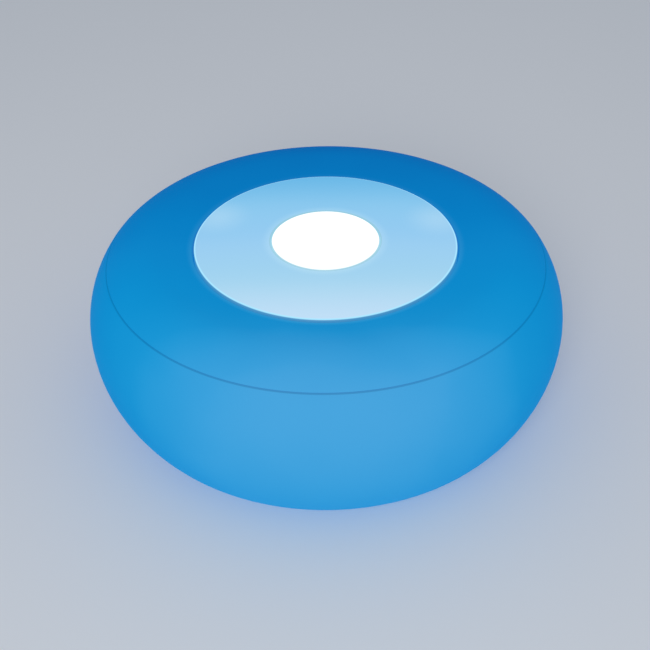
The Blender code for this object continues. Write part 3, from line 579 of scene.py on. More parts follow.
# %% Model the audio socket
BARREL_R, JACK_BORE_R, JACK_BORE_DEEP = 2.45, 1.8, 10.5
body_front = panel_face - PANEL_FRONT - GAP
jack_axis_z = jack_low.z + 2.5
audio_jack = block("audio_jack_body", jack_low, (jack_high.x, body_front, jack_high.z), 0.3)
jack_place = (jack_middle.x, jack_axis_z, "Y", 48)
join(audio_jack, rod("barrel", BARREL_R, body_front - 0.5, jack_high.y, *jack_place))
cut(audio_jack, rod("bore", JACK_BORE_R, body_front - JACK_BORE_DEEP, jack_high.y + 1, *jack_place))
soften_face(audio_jack, 1, jack_high.y, 0.2)
smooth(audio_jack, 30)

# %% Model the switch knob
NOTCH_STEP, NOTCH_HALF, NOTCH_DEEP = 0.6, 0.14, 0.25
slide_knob = block("slide_switch_tip", knob_low, knob_high, 0.15)
for step in (-1, 0, 1):
    notch_x = on_x + NOTCH_STEP * step
    notch_low = (notch_x - NOTCH_HALF, knob_high.y - NOTCH_DEEP, knob_low.z - 1)
    cut(slide_knob, block("notch", notch_low, (notch_x + NOTCH_HALF, knob_high.y + 1, knob_high.z + 1)))
smooth(slide_knob, 30)
print("sockets and switch knob done")


# %% [markdown]
# ## Coils: the return spring and the screws
# A coil spring lifts the button, and nine self-tapping screws hold the core together. A wire's section,
# stood on edge and driven round the axis by a Screw modifier, makes one smooth coil, whose two ends are
# then capped. With a round section it is the spring, and with a diamond it is a screw's thread.

# %% Wind a coil
def coil(name, facets, wire_r, wire_half, radius, low, high, turns, steps=48):
    """A coil between two heights. Its section is wire_r wide each way, and wire_half high each way."""
    nothing_selected()
    bpy.ops.mesh.primitive_circle_add(
        vertices=facets, radius=MM, rotation=(math.pi / 2, 0, 0),
        location=(radius * MM, 0, (low + wire_half) * MM),
    )
    piece = bpy.context.object
    piece.name = piece.data.name = name
    piece.scale = (wire_r, wire_half, 1)
    place_in_mesh(piece)
    bpy.ops.object.modifier_add(type="SCREW")
    winding = piece.modifiers[-1]
    winding.angle = math.tau
    winding.iterations = turns
    winding.steps = winding.render_steps = steps
    winding.screw_offset = (high - low - 2 * wire_half) * MM / turns
    bpy.ops.object.modifier_apply(modifier=winding.name)
    bpy.ops.object.mode_set(mode="EDIT")
    bpy.ops.mesh.select_mode(type="EDGE")
    bpy.ops.mesh.select_all(action="DESELECT")
    bpy.ops.mesh.select_non_manifold()
    bpy.ops.mesh.fill()
    bpy.ops.mesh.select_all(action="SELECT")
    bpy.ops.mesh.normals_make_consistent(inside=False)
    bpy.ops.object.mode_set(mode="OBJECT")
    return smooth(piece, 40)


WIRE_R, COIL_TURNS = 0.4, 3
spring_low, spring_high = box_mm("button_spring")
button_spring = coil(
    "button_spring_coil", 12, WIRE_R, WIRE_R, spring_high.x - WIRE_R, spring_low.z, spring_high.z, COIL_TURNS,
)
print(f"spring: {COIL_TURNS} turns, {spring_high.z - spring_low.z:.1f} mm long")


# %% [markdown]
# A screw's head is a flat dome, turned with its core in one section. The core ends in a point, and two
# crossed blocks cut the recess for the driver. One screw of each size is made at the origin, with its
# bearing face at zero, and copies of it, each with its own mesh, go where the frame has that screw.

# %% Make the screws
PITCH_SHARE, THREAD_SHARE, THREAD_FROM, CROSS_SHARE, CROSS_HALF = 0.8, 0.22, 0.2, 0.55, 0.2
SCREWS = {
    "base_screw": (2.6, 1.6, 1.3, 10.8, 3),
    "board_screw": (2.2, 1.4, 0.9, 7.0, 4),
    "led_board_screw": (1.9, 1.2, 0.8, 4.5, 2),
}


def screw(name, head_r, head_thick, shank_r, length):
    dome, core_r = 0.75 * head_thick, shank_r * (1 - THREAD_SHARE)
    pen = Pen(name, 0, -head_thick)
    pen.to((head_r - dome, -head_thick)).arc((head_r - dome, dome - head_thick), 90, 6)
    pen.to((head_r, 0), (core_r, 0), (core_r, length - 2 * core_r), (0.1, length), (0, length))
    piece = pen.turned(40)
    arm, floor_z = head_r * CROSS_SHARE, -0.4 * head_thick
    for half_x, half_y in ((arm, CROSS_HALF), (CROSS_HALF, arm)):
        cut(piece, block("cross", (-half_x, -half_y, -2 * head_thick), (half_x, half_y, floor_z)))
    rise = shank_r * PITCH_SHARE
    turns = int((length - 2.5 * core_r) / rise)
    thread_high = THREAD_FROM + (turns + 0.8) * rise
    thread = coil(
        name + "_thread", 4, shank_r - core_r, 0.4 * rise, core_r, THREAD_FROM, thread_high, turns, 16,
    )
    return smooth(gather(piece, thread), 30)


screws = {}
for kind, (head_r, head_thick, shank_r, length, count) in SCREWS.items():
    pattern = screw(kind + "_pattern", head_r, head_thick, shank_r, length)
    for number in range(1, count + 1):
        node = f"{kind}_{number}"
        low, high = box_mm(node)
        middle = (low + high) / 2
        upward = kind == "base_screw"
        seat = low.z + head_thick if upward else high.z - head_thick
        turn = (0 if upward else 180, 0, 25 * number)
        screws[node] = copied(pattern, node + "_threaded", (middle.x, middle.y, seat), turn)
    bpy.data.objects.remove(pattern)
print(len(screws), "screws")


# %% [markdown]
# ## The lamps
# Each lamp is a small ceramic cup with a well on its face, filled with clear resin that stands in a low
# dome. A cup of each size is made at the origin, facing up. The rings of lamps are copies, turned about
# the middle, and those of the side strip are tipped over to face outwards.

# %% Make the lamps
WINDOW_R, WELL_DEEP, RESIN_LOW, RESIN_DOME = 1.15, 0.35, 0.12, 0.1


def lamp_cup(name, half_x, half_y, height):
    cup = block(name, (-half_x, -half_y, 0), (half_x, half_y, height), 0.25, "Z", 3)
    soften_face(cup, 2, height, 0.1, 2)
    cut(cup, rod("well", WINDOW_R, height - WELL_DEEP, height + 1))
    resin_r, resin_z = WINDOW_R - 0.01, height - RESIN_LOW - RESIN_DOME
    centre, angle = crown_arc(0, resin_r, resin_z, RESIN_DOME)
    pen = Pen("resin", 0, height - RESIN_LOW).arc(centre, -angle, 6)
    resin = pen.to((resin_r, height - WELL_DEEP - 0.02), (0, height - WELL_DEEP - 0.02)).turned(32)
    return smooth(gather(cup, resin), 30)


lamps = {}
for kind, half_x, half_y, height, count, first in (
    ("button_led", 1.4, 1.75, 0.9, 4, 45),
    ("lens_led", 2.5, 2.5, 1.5, 4, 45),
    ("side_led", 1.75, 1.75, 1.5, 6, 0),
):
    low, high = box_mm(kind + "_1")
    middle = (low + high) / 2
    around = math.hypot(middle.x, middle.y)
    cup = lamp_cup(kind + "_pattern", half_x, half_y, height)
    for number in range(count):
        angle = first + 360 * number / count
        if kind == "side_led":
            x, y = polar((0, 0), around - height / 2, angle)
            place, turn = (x, y, middle.z), (0, 90, angle)
        else:
            x, y = polar((0, 0), around, angle)
            place, turn = (x, y, low.z), (0, 0, angle)
        node = f"{kind}_{number + 1}"
        lamps[node] = copied(cup, node + "_cup", place, turn)
    bpy.data.objects.remove(cup)
print(len(lamps), "lamps")


# %% [markdown]
# ## The cell and the parts on the board
# The cell is a pouch: its long edges are round, and at one end the foil is sealed flat, where the leads
# come out. A capacitor is an aluminium can, rolled in at its foot, on a square base with two corners cut.
# The shield is a drawn lid with cooling holes, and each chip has a small dimple at its first foot.

# %% Make the cell
cell_low, cell_high = box_mm("battery_pack")
lead_low = box_mm("battery_lead_red")[0]
SEAL_LONG, SEAL_HALF = 2.6, 0.8
pouch_low = Vector((cell_low.x + SEAL_LONG, cell_low.y, cell_low.z))
battery = block("battery_pouch", pouch_low, cell_high, 1.6, "X")
soften_face(battery, 0, cell_high.x, 0.8)
soften_face(battery, 0, pouch_low.x, 0.8)
seal_z = lead_low.z + 0.6
seal_low = (cell_low.x, cell_low.y + 1.5, seal_z - SEAL_HALF)
gather(battery, block("seal", seal_low, (pouch_low.x + 1, cell_high.y - 1.5, seal_z + SEAL_HALF), 0.5, "Z"))
smooth(battery, 30)

# %% Make the capacitors, the shield and the chips
CAN_FOOT, CORNER_CUT, CAN_R, ROLL_Z, ROLL_DEEP, LID_ROUND = 0.8, 0.9, 2.35, 1.5, 0.2, 0.35
VENT_STEP, VENT_R = 1.8, 0.4
board_pieces = {}
can_low, can_high = box_mm("output_capacitor_1")
can_tall, can_half = can_high.z - can_low.z, (can_high.x - can_low.x) / 2
pen = Pen("can_pattern", 0, can_tall).to((CAN_R - LID_ROUND, can_tall))
pen.arc((CAN_R - LID_ROUND, can_tall - LID_ROUND), -90, 6).to((CAN_R, ROLL_Z + 2 * ROLL_DEEP))
pen.to((CAN_R - ROLL_DEEP, ROLL_Z + ROLL_DEEP / 2), (CAN_R - ROLL_DEEP, ROLL_Z - ROLL_DEEP / 2))
pen.to((CAN_R, ROLL_Z - 2 * ROLL_DEEP), (CAN_R, CAN_FOOT - 0.1), (0, CAN_FOOT - 0.1))
can_pattern = pen.turned(48)
base = block("base", (-can_half, -can_half, 0), (can_half, can_half, CAN_FOOT))
edit_with_edges(base, lambda a, b: a.x > 0 and b.x > 0 and abs(a.z - b.z) > CAN_FOOT / 2)
bevel_chosen(CORNER_CUT, 1)
smooth(gather(can_pattern, base), 30)
for node in ("output_capacitor_1", "output_capacitor_2"):
    low, high = box_mm(node)
    middle = (low + high) / 2
    board_pieces[node] = copied(can_pattern, node + "_can", (middle.x, middle.y, low.z))
bpy.data.objects.remove(can_pattern)

shield_low, shield_high = box_mm("module_shield")
shield = block("module_shield_lid", shield_low, shield_high, 0.5, "Z", 4)
soften_face(shield, 2, shield_high.z, 0.2)
for column in range(-2, 3):
    for row in range(-1, 2):
        x = (shield_low.x + shield_high.x) / 2 + VENT_STEP * column
        y = (shield_low.y + shield_high.y) / 2 + VENT_STEP * row
        cut(shield, rod("hole", VENT_R, shield_high.z - 0.3, shield_high.z + 1, x, y, facets=16))
board_pieces["module_shield"] = smooth(shield, 30)
for node in ("audio_dac", "charge_chip", "led_driver"):
    low, high = box_mm(node)
    chip = block(node + "_epoxy", low, high, 0.08, "Z", 2)
    soften_face(chip, 2, high.z, 0.08, 2)
    cut(chip, rod("dimple", 0.3, high.z - 0.08, high.z + 1, low.x + 0.8, low.y + 0.8, facets=20))
    board_pieces[node] = smooth(chip, 30)
print(len(board_pieces), "board pieces")

# %% Make the connectors
def connector(node, mouth_low, mouth_high):
    """A moulded housing with its edges broken and one mouth cut into it."""
    low, high = box_mm(node)
    piece = block(node + "_housing", low, high, 0.25, "Z", 3)
    soften_face(piece, 2, high.z, 0.15, 2)
    cut(piece, block("mouth", mouth_low, mouth_high))
    return smooth(piece, 30)


film_low, film_high = box_mm("led_ribbon")
socket_low, socket_high = box_mm("battery_socket")
plug_low, plug_high = box_mm("battery_plug")
hung_low = box_mm("led_ribbon_socket")[0]
FILM_PLAY, PLUG_PLAY = 0.15, 0.15
lower_mouth = (
    (film_low.x - FILM_PLAY, film_low.y - FILM_PLAY, film_low.z - 1.6),
    (film_high.x + FILM_PLAY, film_low.y + 2 * FILM_PLAY + 0.3, film_low.z + 1),
)
upper_mouth = (
    (film_low.x - FILM_PLAY, film_high.y - 2 * FILM_PLAY - 0.3, hung_low.z - 1),
    (film_high.x + FILM_PLAY, film_high.y + FILM_PLAY, hung_low.z + 1.3),
)
plug_mouth = (
    (socket_low.x - 1, plug_low.y - PLUG_PLAY, plug_low.z - PLUG_PLAY),
    (socket_high.x - 1, plug_high.y + PLUG_PLAY, plug_high.z + PLUG_PLAY),
)
board_pieces["main_ribbon_socket"] = connector("main_ribbon_socket", *lower_mouth)
board_pieces["led_ribbon_socket"] = connector("led_ribbon_socket", *upper_mouth)
board_pieces["battery_socket"] = connector("battery_socket", *plug_mouth)
print(len(board_pieces), "board pieces with the connectors")


# %% [markdown]
# ## Writing finishes as expressions
# A finish is a small graph of nodes. Written node by node it is long and hard to read, so a Value wraps
# a socket and Python's own operators add the Math nodes. A Finish owns one material, and its `node`
# method adds any other node: settings first, then the sockets.

# %% Make the shader classes
class Value:
    """A number at each point of a surface."""

    def __init__(self, finish, socket):
        self.finish, self.socket = finish, socket

    def math(self, operation, *inputs):
        return self.finish.node("Math", {"operation": operation}, dict(enumerate(inputs)))

    def __add__(self, other):
        return self.math("ADD", self, other)

    def __sub__(self, other):
        return self.math("SUBTRACT", self, other)

    def __rsub__(self, other):
        return self.math("SUBTRACT", other, self)

    def __mul__(self, other):
        return self.math("MULTIPLY", self, other)

    def __truediv__(self, other):
        return self.math("DIVIDE", self, other)

    __radd__ = __add__
    __rmul__ = __mul__

    def root(self):
        return self.math("SQRT", self)

    def at_least(self, least):
        return self.math("MAXIMUM", self, least)

    def away_from(self, place):
        return self.math("ABSOLUTE", self - place)

    def from_nearest(self, pitch):
        """Distance to the nearest whole number of pitches."""
        return self.math("PINGPONG", self, pitch / 2)

    def between(self, low, high):
        """Rises smoothly from 0 at low to 1 at high. Low may be the larger number."""
        settings = {"interpolation_type": "SMOOTHSTEP"}
        flip = low > high
        sockets = {"Value": self, "From Min": min(low, high), "From Max": max(low, high)}
        rise = self.finish.node("MapRange", settings, sockets)
        return 1 - rise if flip else rise


class Finish:
    """One material. Its fixed numbers go straight on the shader's own sockets."""

    def __init__(self, name, **fixed):
        self.material = bpy.data.materials.new(name)
        self.material.use_nodes = True
        self.tree = self.material.node_tree
        self.shader = self.tree.nodes["Principled BSDF"]
        for words, value in fixed.items():
            self.give(self.shader.inputs[words.replace("_", " ")], value)
        self.place = self.node("VectorMath", {"operation": "SCALE"}, {
            0: self.node("TexCoord", {}, {}, "Object"), "Scale": 1 / MM,
        })
        self.x, self.y, self.z = (self.node("SeparateXYZ", {}, {0: self.place}, axis) for axis in "XYZ")
        self.r = (self.x * self.x + self.y * self.y).root()

    def give(self, socket, value):
        if isinstance(value, Value):
            self.tree.links.new(value.socket, socket)
        elif isinstance(value, tuple) and len(socket.default_value) == 4:
            socket.default_value = (*value, 1)
        else:
            socket.default_value = value

    def node(self, kind, settings, sockets, out=0):
        node = self.tree.nodes.new("ShaderNode" + kind)
        for name, value in settings.items():
            if name == "stops":
                self.set_stops(node.color_ramp, value)
            else:
                setattr(node, name, value)
        for name, value in sockets.items():
            self.give(node.inputs[name], value)
        return Value(self, node.outputs[out])

    def set_stops(self, ramp, stops):
        ramp.interpolation = "CARDINAL"
        while len(ramp.elements) < len(stops):
            ramp.elements.new(0.5)
        for element, (place, colour) in zip(ramp.elements, stops):
            element.position = place
            element.color = (*colour, 1)

    def along(self, value, low, high, stops):
        """A colour that follows a value through stops, each a value and a colour."""
        shares = [((place - low) / (high - low), colour) for place, colour in stops]
        share = self.node("MapRange", {}, {"Value": value, "From Min": low, "From Max": high})
        return self.node("ValToRGB", {"stops": shares}, {"Fac": share})

    def mix(self, mask, off, on, how="MIX"):
        """Colour off where the mask is 0, and on where it is 1."""
        return self.node("Mix", {"data_type": "RGBA", "blend_type": how}, {0: mask, 6: off, 7: on}, 2)

    def noise(self, size, detail=2.0, stretch=None):
        """Soft noise from 0 to 1 whose blotches are about size millimetres across."""
        place = self.place
        if stretch:
            place = self.node("VectorMath", {"operation": "MULTIPLY"}, {0: place, 1: stretch})
        return self.node("TexNoise", {}, {"Vector": place, "Scale": 1 / size, "Detail": detail})

    def wears(self, **looks):
        for words, value in looks.items():
            self.give(self.shader.inputs[words.replace("_", " ")], value)
        return self

    def bump(self, height, depth):
        """Raises the surface by height, from 0 to 1, times depth in millimetres."""
        normal = self.node("Bump", {}, {"Height": height, "Distance": depth * MM, "Strength": 1.0})
        return self.wears(Normal=normal)


print("finishes are ready to write")


# %% [markdown]
# ## Opal plastic, lit from inside
# The shells are milky polyethylene over blue lamps. Such a wall scatters the light so well that it seems
# to glow by itself, so the glow is emission and the daylight on the surface is a soft, rough reflection.
# The glow is painted brighter and redder in front and darker behind, as the front light shows it, and it
# turns darker and bluer towards the floor. Light from the lens is painted as a faint spill on the lip round
# it, and the faces inside the shells take a dimmer copy as painted shade. The moulding leaves a fine grain,
# and the wall's thickness varies a little, which shows as slow, faint clouds.

# %% Finish the shells
OPAL_BASE = (0.003, 0.17, 0.26)
SHELL_GLOW_PAINTED_FRONT_LIGHT = (
    (-54, (0.062, 0.226, 0.490)),
    (-48, (0.042, 0.213, 0.485)),
    (-36, (0.008, 0.172, 0.450)),
    (0, (0.001, 0.115, 0.390)),
    (44, (0.0, 0.050, 0.290)),
    (54, (0.0, 0.042, 0.275)),
)
GLOW_R = SHELL_GLOW_PAINTED_FRONT_LIGHT[-1][0]
LOW_TINT = (0.30, 0.86, 1.0)
# Painted light: the lens's light spilt on the shell's lip.
LIP_PAINTED_SPILL = (0.022, 0.045, 0.03)


def opal(name, strength=1.0):
    finish = Finish(name, Specular_IOR_Level=0.004, Emission_Strength=strength)
    clouds = finish.noise(14, 1.0)
    # Painted light: the glow runs from bright and red in front to dark behind, by place along Y.
    depth = finish.y * GLOW_R / finish.r.at_least(GLOW_R) + (clouds - 0.5) * 5
    # Painted shade: the back is darkest at the top by the lens, and less dark lower down.
    behind = (depth - 12).at_least(0) * finish.z.between(43.5, 33)
    depth = depth - 0.75 * behind
    glow = finish.along(depth, -GLOW_R, GLOW_R, SHELL_GLOW_PAINTED_FRONT_LIGHT)
    # Darker and bluer towards the floor.
    glow = finish.mix(finish.z.between(38, 2), glow, LOW_TINT, "MULTIPLY")
    # Painted light: a spill from the lit lens on the lip round it, brighter in front.
    painted_lens_spill = finish.r.between(34.6, 32.9) * finish.z.between(41.5, 42) * (0.6 - 0.4 * finish.y / lens_r)
    glow = finish.mix(painted_lens_spill, glow, LIP_PAINTED_SPILL, "ADD")
    finish.wears(
        Base_Color=finish.mix(clouds, OPAL_BASE, tuple(0.95 * part for part in OPAL_BASE)),
        Emission_Color=glow,
        Roughness=0.5 + (finish.noise(0.8) - 0.5) * 0.12,
    )
    return finish.bump(finish.noise(0.35, 1.0), 0.01)


opal_outside = opal("opal_shell_lit")
# Painted shade: the faces inside the shells and in the gaps take this dimmer copy of the glow.
opal_painted_shade = opal("opal_shell_painted_shade", 0.75)
print("opal:", len(opal_outside.tree.nodes), "nodes")


# %% [markdown]
# ## The lens and the button
# The lens is frosted acrylic over its own ring of lamps. It glows brighter than the shells, and it is painted
# palest in front, as the front light shows it. Its rounded outer edge gathers light in a fine bright line.
# Two faint, wide highlights are painted towards the back. The button is lit white, and a little of its light
# is painted as a spill on the lens. Painted shade darkens the lens's side walls by the button and by the
# shell, and the button's own edge.

# %% Finish the lens
LENS_GLOW_PAINTED_FRONT_LIGHT = (
    (-lens_r, (0.485, 0.655, 0.825)),
    (-18, (0.332, 0.580, 0.770)),
    (0, (0.258, 0.522, 0.775)),
    (18, (0.188, 0.480, 0.745)),
    (lens_r, (0.085, 0.390, 0.690)),
)
# Painted highlights: two faint, wide spots towards the back of the lens.
PAINTED_HIGHLIGHT_SPOTS, SPOT_R = ((-27.5, 12), (28.5, 9.5)), 10
PAINTED_HIGHLIGHT_TINT, PAINTED_SPILL_TINT = (0.085, 0.06, 0.02), (0.06, 0.05, 0.02)
# The last two colours here are painted shade on the lens's outer and inner side walls.
RIM_LINE, RIM_SIDE_PAINTED_SHADE, BORE_SIDE_PAINTED_SHADE = (0.36, 0.74, 0.95), (0.02, 0.20, 0.44), (0.26, 0.50, 0.62)
frosted = Finish("frosted_lens_lit", Specular_IOR_Level=0.2, Emission_Strength=1.0)
# Painted light: the lens glow runs from palest in front to darkest behind, along Y.
lens_glow_and_painted_light = frosted.along(frosted.y, -lens_r, lens_r, LENS_GLOW_PAINTED_FRONT_LIGHT)
# Painted highlights are added at the two spots.
for spot_x, spot_y in PAINTED_HIGHLIGHT_SPOTS:
    away_x, away_y = frosted.x - spot_x, frosted.y - spot_y
    spot = (away_x * away_x + away_y * away_y).root().between(SPOT_R, 0)
    lens_glow_and_painted_light = frosted.mix(spot, lens_glow_and_painted_light, PAINTED_HIGHLIGHT_TINT, "ADD")
# Painted light: the button's light spilling on the lens round the bore.
lens_glow_and_painted_light = frosted.mix(frosted.r.between(BORE_R + 2.5, BORE_R), lens_glow_and_painted_light, PAINTED_SPILL_TINT, "ADD")
# Painted shade on the bore wall, in the gap next to the button.
lens_glow_and_painted_light = frosted.mix(frosted.r.between(BORE_R + 0.35, BORE_R + 0.1), lens_glow_and_painted_light, BORE_SIDE_PAINTED_SHADE)
lens_glow_and_painted_light = frosted.mix(frosted.r.between(lens_r - 0.6, lens_r - 0.35), lens_glow_and_painted_light, RIM_LINE)
# Painted shade on the lens's outer side wall, in the gap to the shell.
lens_glow_and_painted_light = frosted.mix(frosted.r.between(lens_r - 0.25, lens_r - 0.05), lens_glow_and_painted_light, RIM_SIDE_PAINTED_SHADE)
frosted.wears(
    Base_Color=(0.07, 0.115, 0.13), Emission_Color=lens_glow_and_painted_light, Roughness=0.38 + frosted.noise(1.2) * 0.08,
)
frosted.bump(frosted.noise(0.3, 1.0), 0.006)

# %% Finish the button
lit_button = Finish("lit_button_white", Specular_IOR_Level=0.3, Emission_Strength=1.0)
# Painted shade: the button's rim turns grey-blue where it meets the lens.
button_edge_painted_shade = lit_button.r.between(button_r - 0.25, button_r - 0.02)
lit_button.wears(
    Base_Color=(0.2, 0.23, 0.24),
    Emission_Color=lit_button.mix(button_edge_painted_shade, (1.0, 1.0, 1.0), (0.25, 0.46, 0.55)),
    Roughness=0.35 + lit_button.noise(1.5) * 0.06,
)
lit_button.bump(lit_button.noise(0.35, 1.0), 0.005)
print("lens and button finished")


# %% [markdown]
# ## Mouldings, silicone and ceramic
# Plastic, silicone, nylon, epoxy and ceramic differ in colour, gloss and grain, but are built alike: two
# close shades in soft blotches, a roughness that follows them, and a fine grain in the surface. One
# function writes them all. A flat colour would be quicker, but no real moulding is that even.

# %% Finish the moulded pieces
def moulded(name, dark, light, roughness, blotch=4.0, grain=0.01, gloss=0.45):
    finish = Finish(name, Specular_IOR_Level=gloss)
    shade = finish.noise(blotch)
    finish.wears(Base_Color=finish.mix(shade, dark, light), Roughness=roughness + shade * 0.12)
    return finish.bump(finish.noise(0.35), grain)


silicone = moulded("foot_silicone_matt", (0.34, 0.36, 0.40), (0.42, 0.44, 0.47), 0.72, 3, 0.02, 0.3)
panel_grain = moulded("panel_plastic_grained", (0.63, 0.66, 0.69), (0.70, 0.72, 0.75), 0.5, 1.5, 0.02, 0.4)
black = moulded("black_plastic_moulded", (0.012, 0.012, 0.013), (0.022, 0.022, 0.024), 0.42, 0.5)
white = moulded("white_plastic_moulded", (0.76, 0.77, 0.78), (0.82, 0.82, 0.82), 0.42)
nylon = moulded("connector_nylon_ivory", (0.74, 0.70, 0.60), (0.80, 0.77, 0.68), 0.38, 2)
red_wire = moulded("lead_insulation_red", (0.42, 0.012, 0.010), (0.50, 0.020, 0.014), 0.34, 1)
black_wire = moulded("lead_insulation_black", (0.010, 0.010, 0.011), (0.020, 0.020, 0.021), 0.34, 1)
print("moulded finishes done")


# %% [markdown]
# ## Metal and foil
# The socket shell and the screws are plated steel with faint rolling marks. The cell is wrapped in
# aluminium laminate, which is pressed smooth over the cell but never quite flat. The capacitor cans are
# drawn aluminium on a black foot, and a dark segment on the lid marks the minus side.

# %% Finish the metal pieces
plated = Finish("plated_steel_rolled", Metallic=1.0)
rolled = plated.noise(0.3, 3.0, (1, 0.05, 1))
plated.wears(
    Base_Color=plated.mix(rolled, (0.55, 0.56, 0.58), (0.68, 0.69, 0.70)), Roughness=0.22 + rolled * 0.15,
)

CONTACT_PITCH, GOLD = 0.5, (0.88, 0.62, 0.26)
contacts = Finish("charge_contacts_gilt", Specular_IOR_Level=0.4)
stripes = contacts.x.from_nearest(CONTACT_PITCH).between(0.10, 0.13)
gilt = stripes * contacts.y.between(tongue_high[1] - 0.6, tongue_high[1] - 0.65)
contacts.wears(
    Base_Color=contacts.mix(gilt, (0.015, 0.015, 0.016), GOLD), Metallic=gilt,
    Roughness=0.35 - 0.1 * gilt + contacts.noise(0.5) * 0.05,
)
contacts.bump(gilt, 0.03)

foil = Finish("battery_foil_laminate", Metallic=0.9)
creases = foil.noise(7, 4.0)
foil.wears(
    Base_Color=foil.mix(creases, (0.58, 0.60, 0.62), (0.70, 0.71, 0.72)), Roughness=0.3 + creases * 0.2,
)
foil.bump(creases, 0.15)

MINUS_Y, MINUS_DEEP = 1.3, 0.2
can = Finish("capacitor_can_drawn")
drawn = can.noise(0.4, 3.0, (1, 1, 0.1))
minus = can.y.between((can_low.y + can_high.y) / 2 + MINUS_Y, (can_low.y + can_high.y) / 2 + MINUS_Y + 0.02)
dark = minus * can.z.between(can_high.z - MINUS_DEEP, can_high.z - MINUS_DEEP + 0.02)
foot = can.z.between(can_low.z + CAN_FOOT + 0.05, can_low.z + CAN_FOOT + 0.03)
bare = 1 - (dark + foot)
silver = can.mix(drawn, (0.70, 0.71, 0.72), (0.80, 0.80, 0.81))
can.wears(Base_Color=can.mix(bare, (0.02, 0.02, 0.022), silver), Metallic=bare, Roughness=0.26 + drawn * 0.14)
print("metal finishes done")


# %% [markdown]
# ## Circuit boards, chips and ribbon
# A board is glass laminate under a coloured mask. The copper tracks show through it as slightly raised,
# lighter lines, and small tinned holes join the two sides. A brick pattern draws the tracks, because the
# joints of bricks run and step like tracks do, and cells with a dot in each draw the holes. Chips are
# matt epoxy with tinned feet along the lower edge of their sides. The ribbon's wires lie a millimetre
# apart.

# %% Finish the boards
TRACK, TRACK_STEP, TRACK_ROW, HOLE_STEP, TIN = 0.11, 6.5, 1.3, 3.4, (0.72, 0.71, 0.68)


def masked_board(name, mask, track):
    finish = Finish(name, Specular_IOR_Level=0.5)
    tracks = finish.node("TexBrick", {"offset": 0.37, "squash": 1.7, "squash_frequency": 3}, {
        "Vector": finish.place, "Scale": 1.0, "Mortar Size": TRACK, "Brick Width": TRACK_STEP,
        "Row Height": TRACK_ROW,
    }, "Fac")
    cells = {"Vector": finish.place, "Scale": 1 / HOLE_STEP}
    holes = finish.node("TexVoronoi", {}, cells, "Distance").between(0.09, 0.07)
    colour = finish.mix(tracks, mask, track)
    finish.wears(
        Base_Color=finish.mix(holes, colour, TIN), Metallic=holes * 0.9,
        Roughness=0.34 + finish.noise(2) * 0.1,
    )
    return finish.bump(tracks, 0.03)


green_board = masked_board("board_green_masked", (0.004, 0.075, 0.030), (0.012, 0.150, 0.060))
white_board = masked_board("board_white_masked", (0.74, 0.75, 0.74), (0.66, 0.68, 0.68))

# %% Finish the chips, the ceramic pieces and the ribbon
FOOT_PITCH, FOOT_HALF, FOOT_HIGH, END_CAP = 0.5, 0.12, 0.25, 0.45
chip_low = box_mm("audio_dac")[0]
epoxy = Finish("chip_epoxy_moulded", Specular_IOR_Level=0.4)
grit = epoxy.noise(0.15, 3.0)
normal = epoxy.node("NewGeometry", {}, {}, "Normal")
faces_x = epoxy.node("SeparateXYZ", {}, {0: normal}, "X").away_from(0)
beside = faces_x * epoxy.y.from_nearest(FOOT_PITCH) + (1 - faces_x) * epoxy.x.from_nearest(FOOT_PITCH)
foot_top_z = chip_low.z + FOOT_HIGH
feet = beside.between(FOOT_HALF, FOOT_HALF - 0.03) * epoxy.z.between(foot_top_z, foot_top_z - 0.02)
resin = epoxy.mix(grit, (0.016, 0.016, 0.018), (0.030, 0.030, 0.032))
epoxy.wears(Base_Color=epoxy.mix(feet, resin, TIN), Metallic=feet, Roughness=0.6 - feet * 0.3)
epoxy.bump(grit, 0.01)


def capped(name, node, axis, dark, light):
    """Ceramic or ferrite with tinned end caps, for one frame piece."""
    low, high = box_mm(node)
    index = "xyz".index(axis)
    finish = Finish(name, Specular_IOR_Level=0.45)
    cap_from = (high[index] - low[index]) / 2 - END_CAP
    along = getattr(finish, axis).away_from((low[index] + high[index]) / 2)
    cap = along.between(cap_from, cap_from + 0.03)
    body = finish.mix(finish.noise(0.6), dark, light)
    finish.wears(Base_Color=finish.mix(cap, body, TIN), Metallic=cap, Roughness=0.45 - cap * 0.15)
    return finish.bump(finish.noise(0.2), 0.01)


antenna_ceramic = capped("antenna_ceramic", "chip_antenna", "y", (0.60, 0.58, 0.54), (0.68, 0.66, 0.62))
inductor_ferrite = capped("inductor_ferrite", "power_inductor", "x", (0.14, 0.14, 0.15), (0.20, 0.20, 0.21))

ribbon = Finish("ribbon_film", Specular_IOR_Level=0.5)
wires = ribbon.x.from_nearest(1.0).between(0.32, 0.26)
ribbon.wears(
    Base_Color=ribbon.mix(wires, (0.72, 0.72, 0.70), (0.60, 0.55, 0.46)),
    Roughness=0.3 + ribbon.noise(1) * 0.1,
)
ribbon.bump(wires, 0.05)
print("board finishes done")


# %% [markdown]
# ## Lit lamps
# Every lamp is a white ceramic cup with a round window of clear resin. They stand in rings, so all the
# lamps of one ring can share a finish: in each quarter of the board the lamps stand alike, so the plain
# distances from the two middle lines place all four windows. Round the side strip they stand every
# sixty degrees, so the angle to the nearest sixty does the same there.

# %% Finish the lamps
def lamp(name, light, distances):
    finish = Finish(name, Specular_IOR_Level=0.5, Emission_Strength=1.0)
    one, other = distances(finish)
    window = (one * one + other * other).root().between(WINDOW_R, WINDOW_R - 0.15)
    cup = finish.mix(finish.noise(0.8), (0.74, 0.75, 0.74), (0.80, 0.80, 0.79))
    finish.wears(
        Base_Color=finish.mix(window, cup, (0.45, 0.47, 0.50)), Roughness=0.5 - window * 0.35,
        Emission_Color=finish.mix(window, (0.0, 0.0, 0.0), light),
    )
    return finish.bump(1 - window, 0.1)


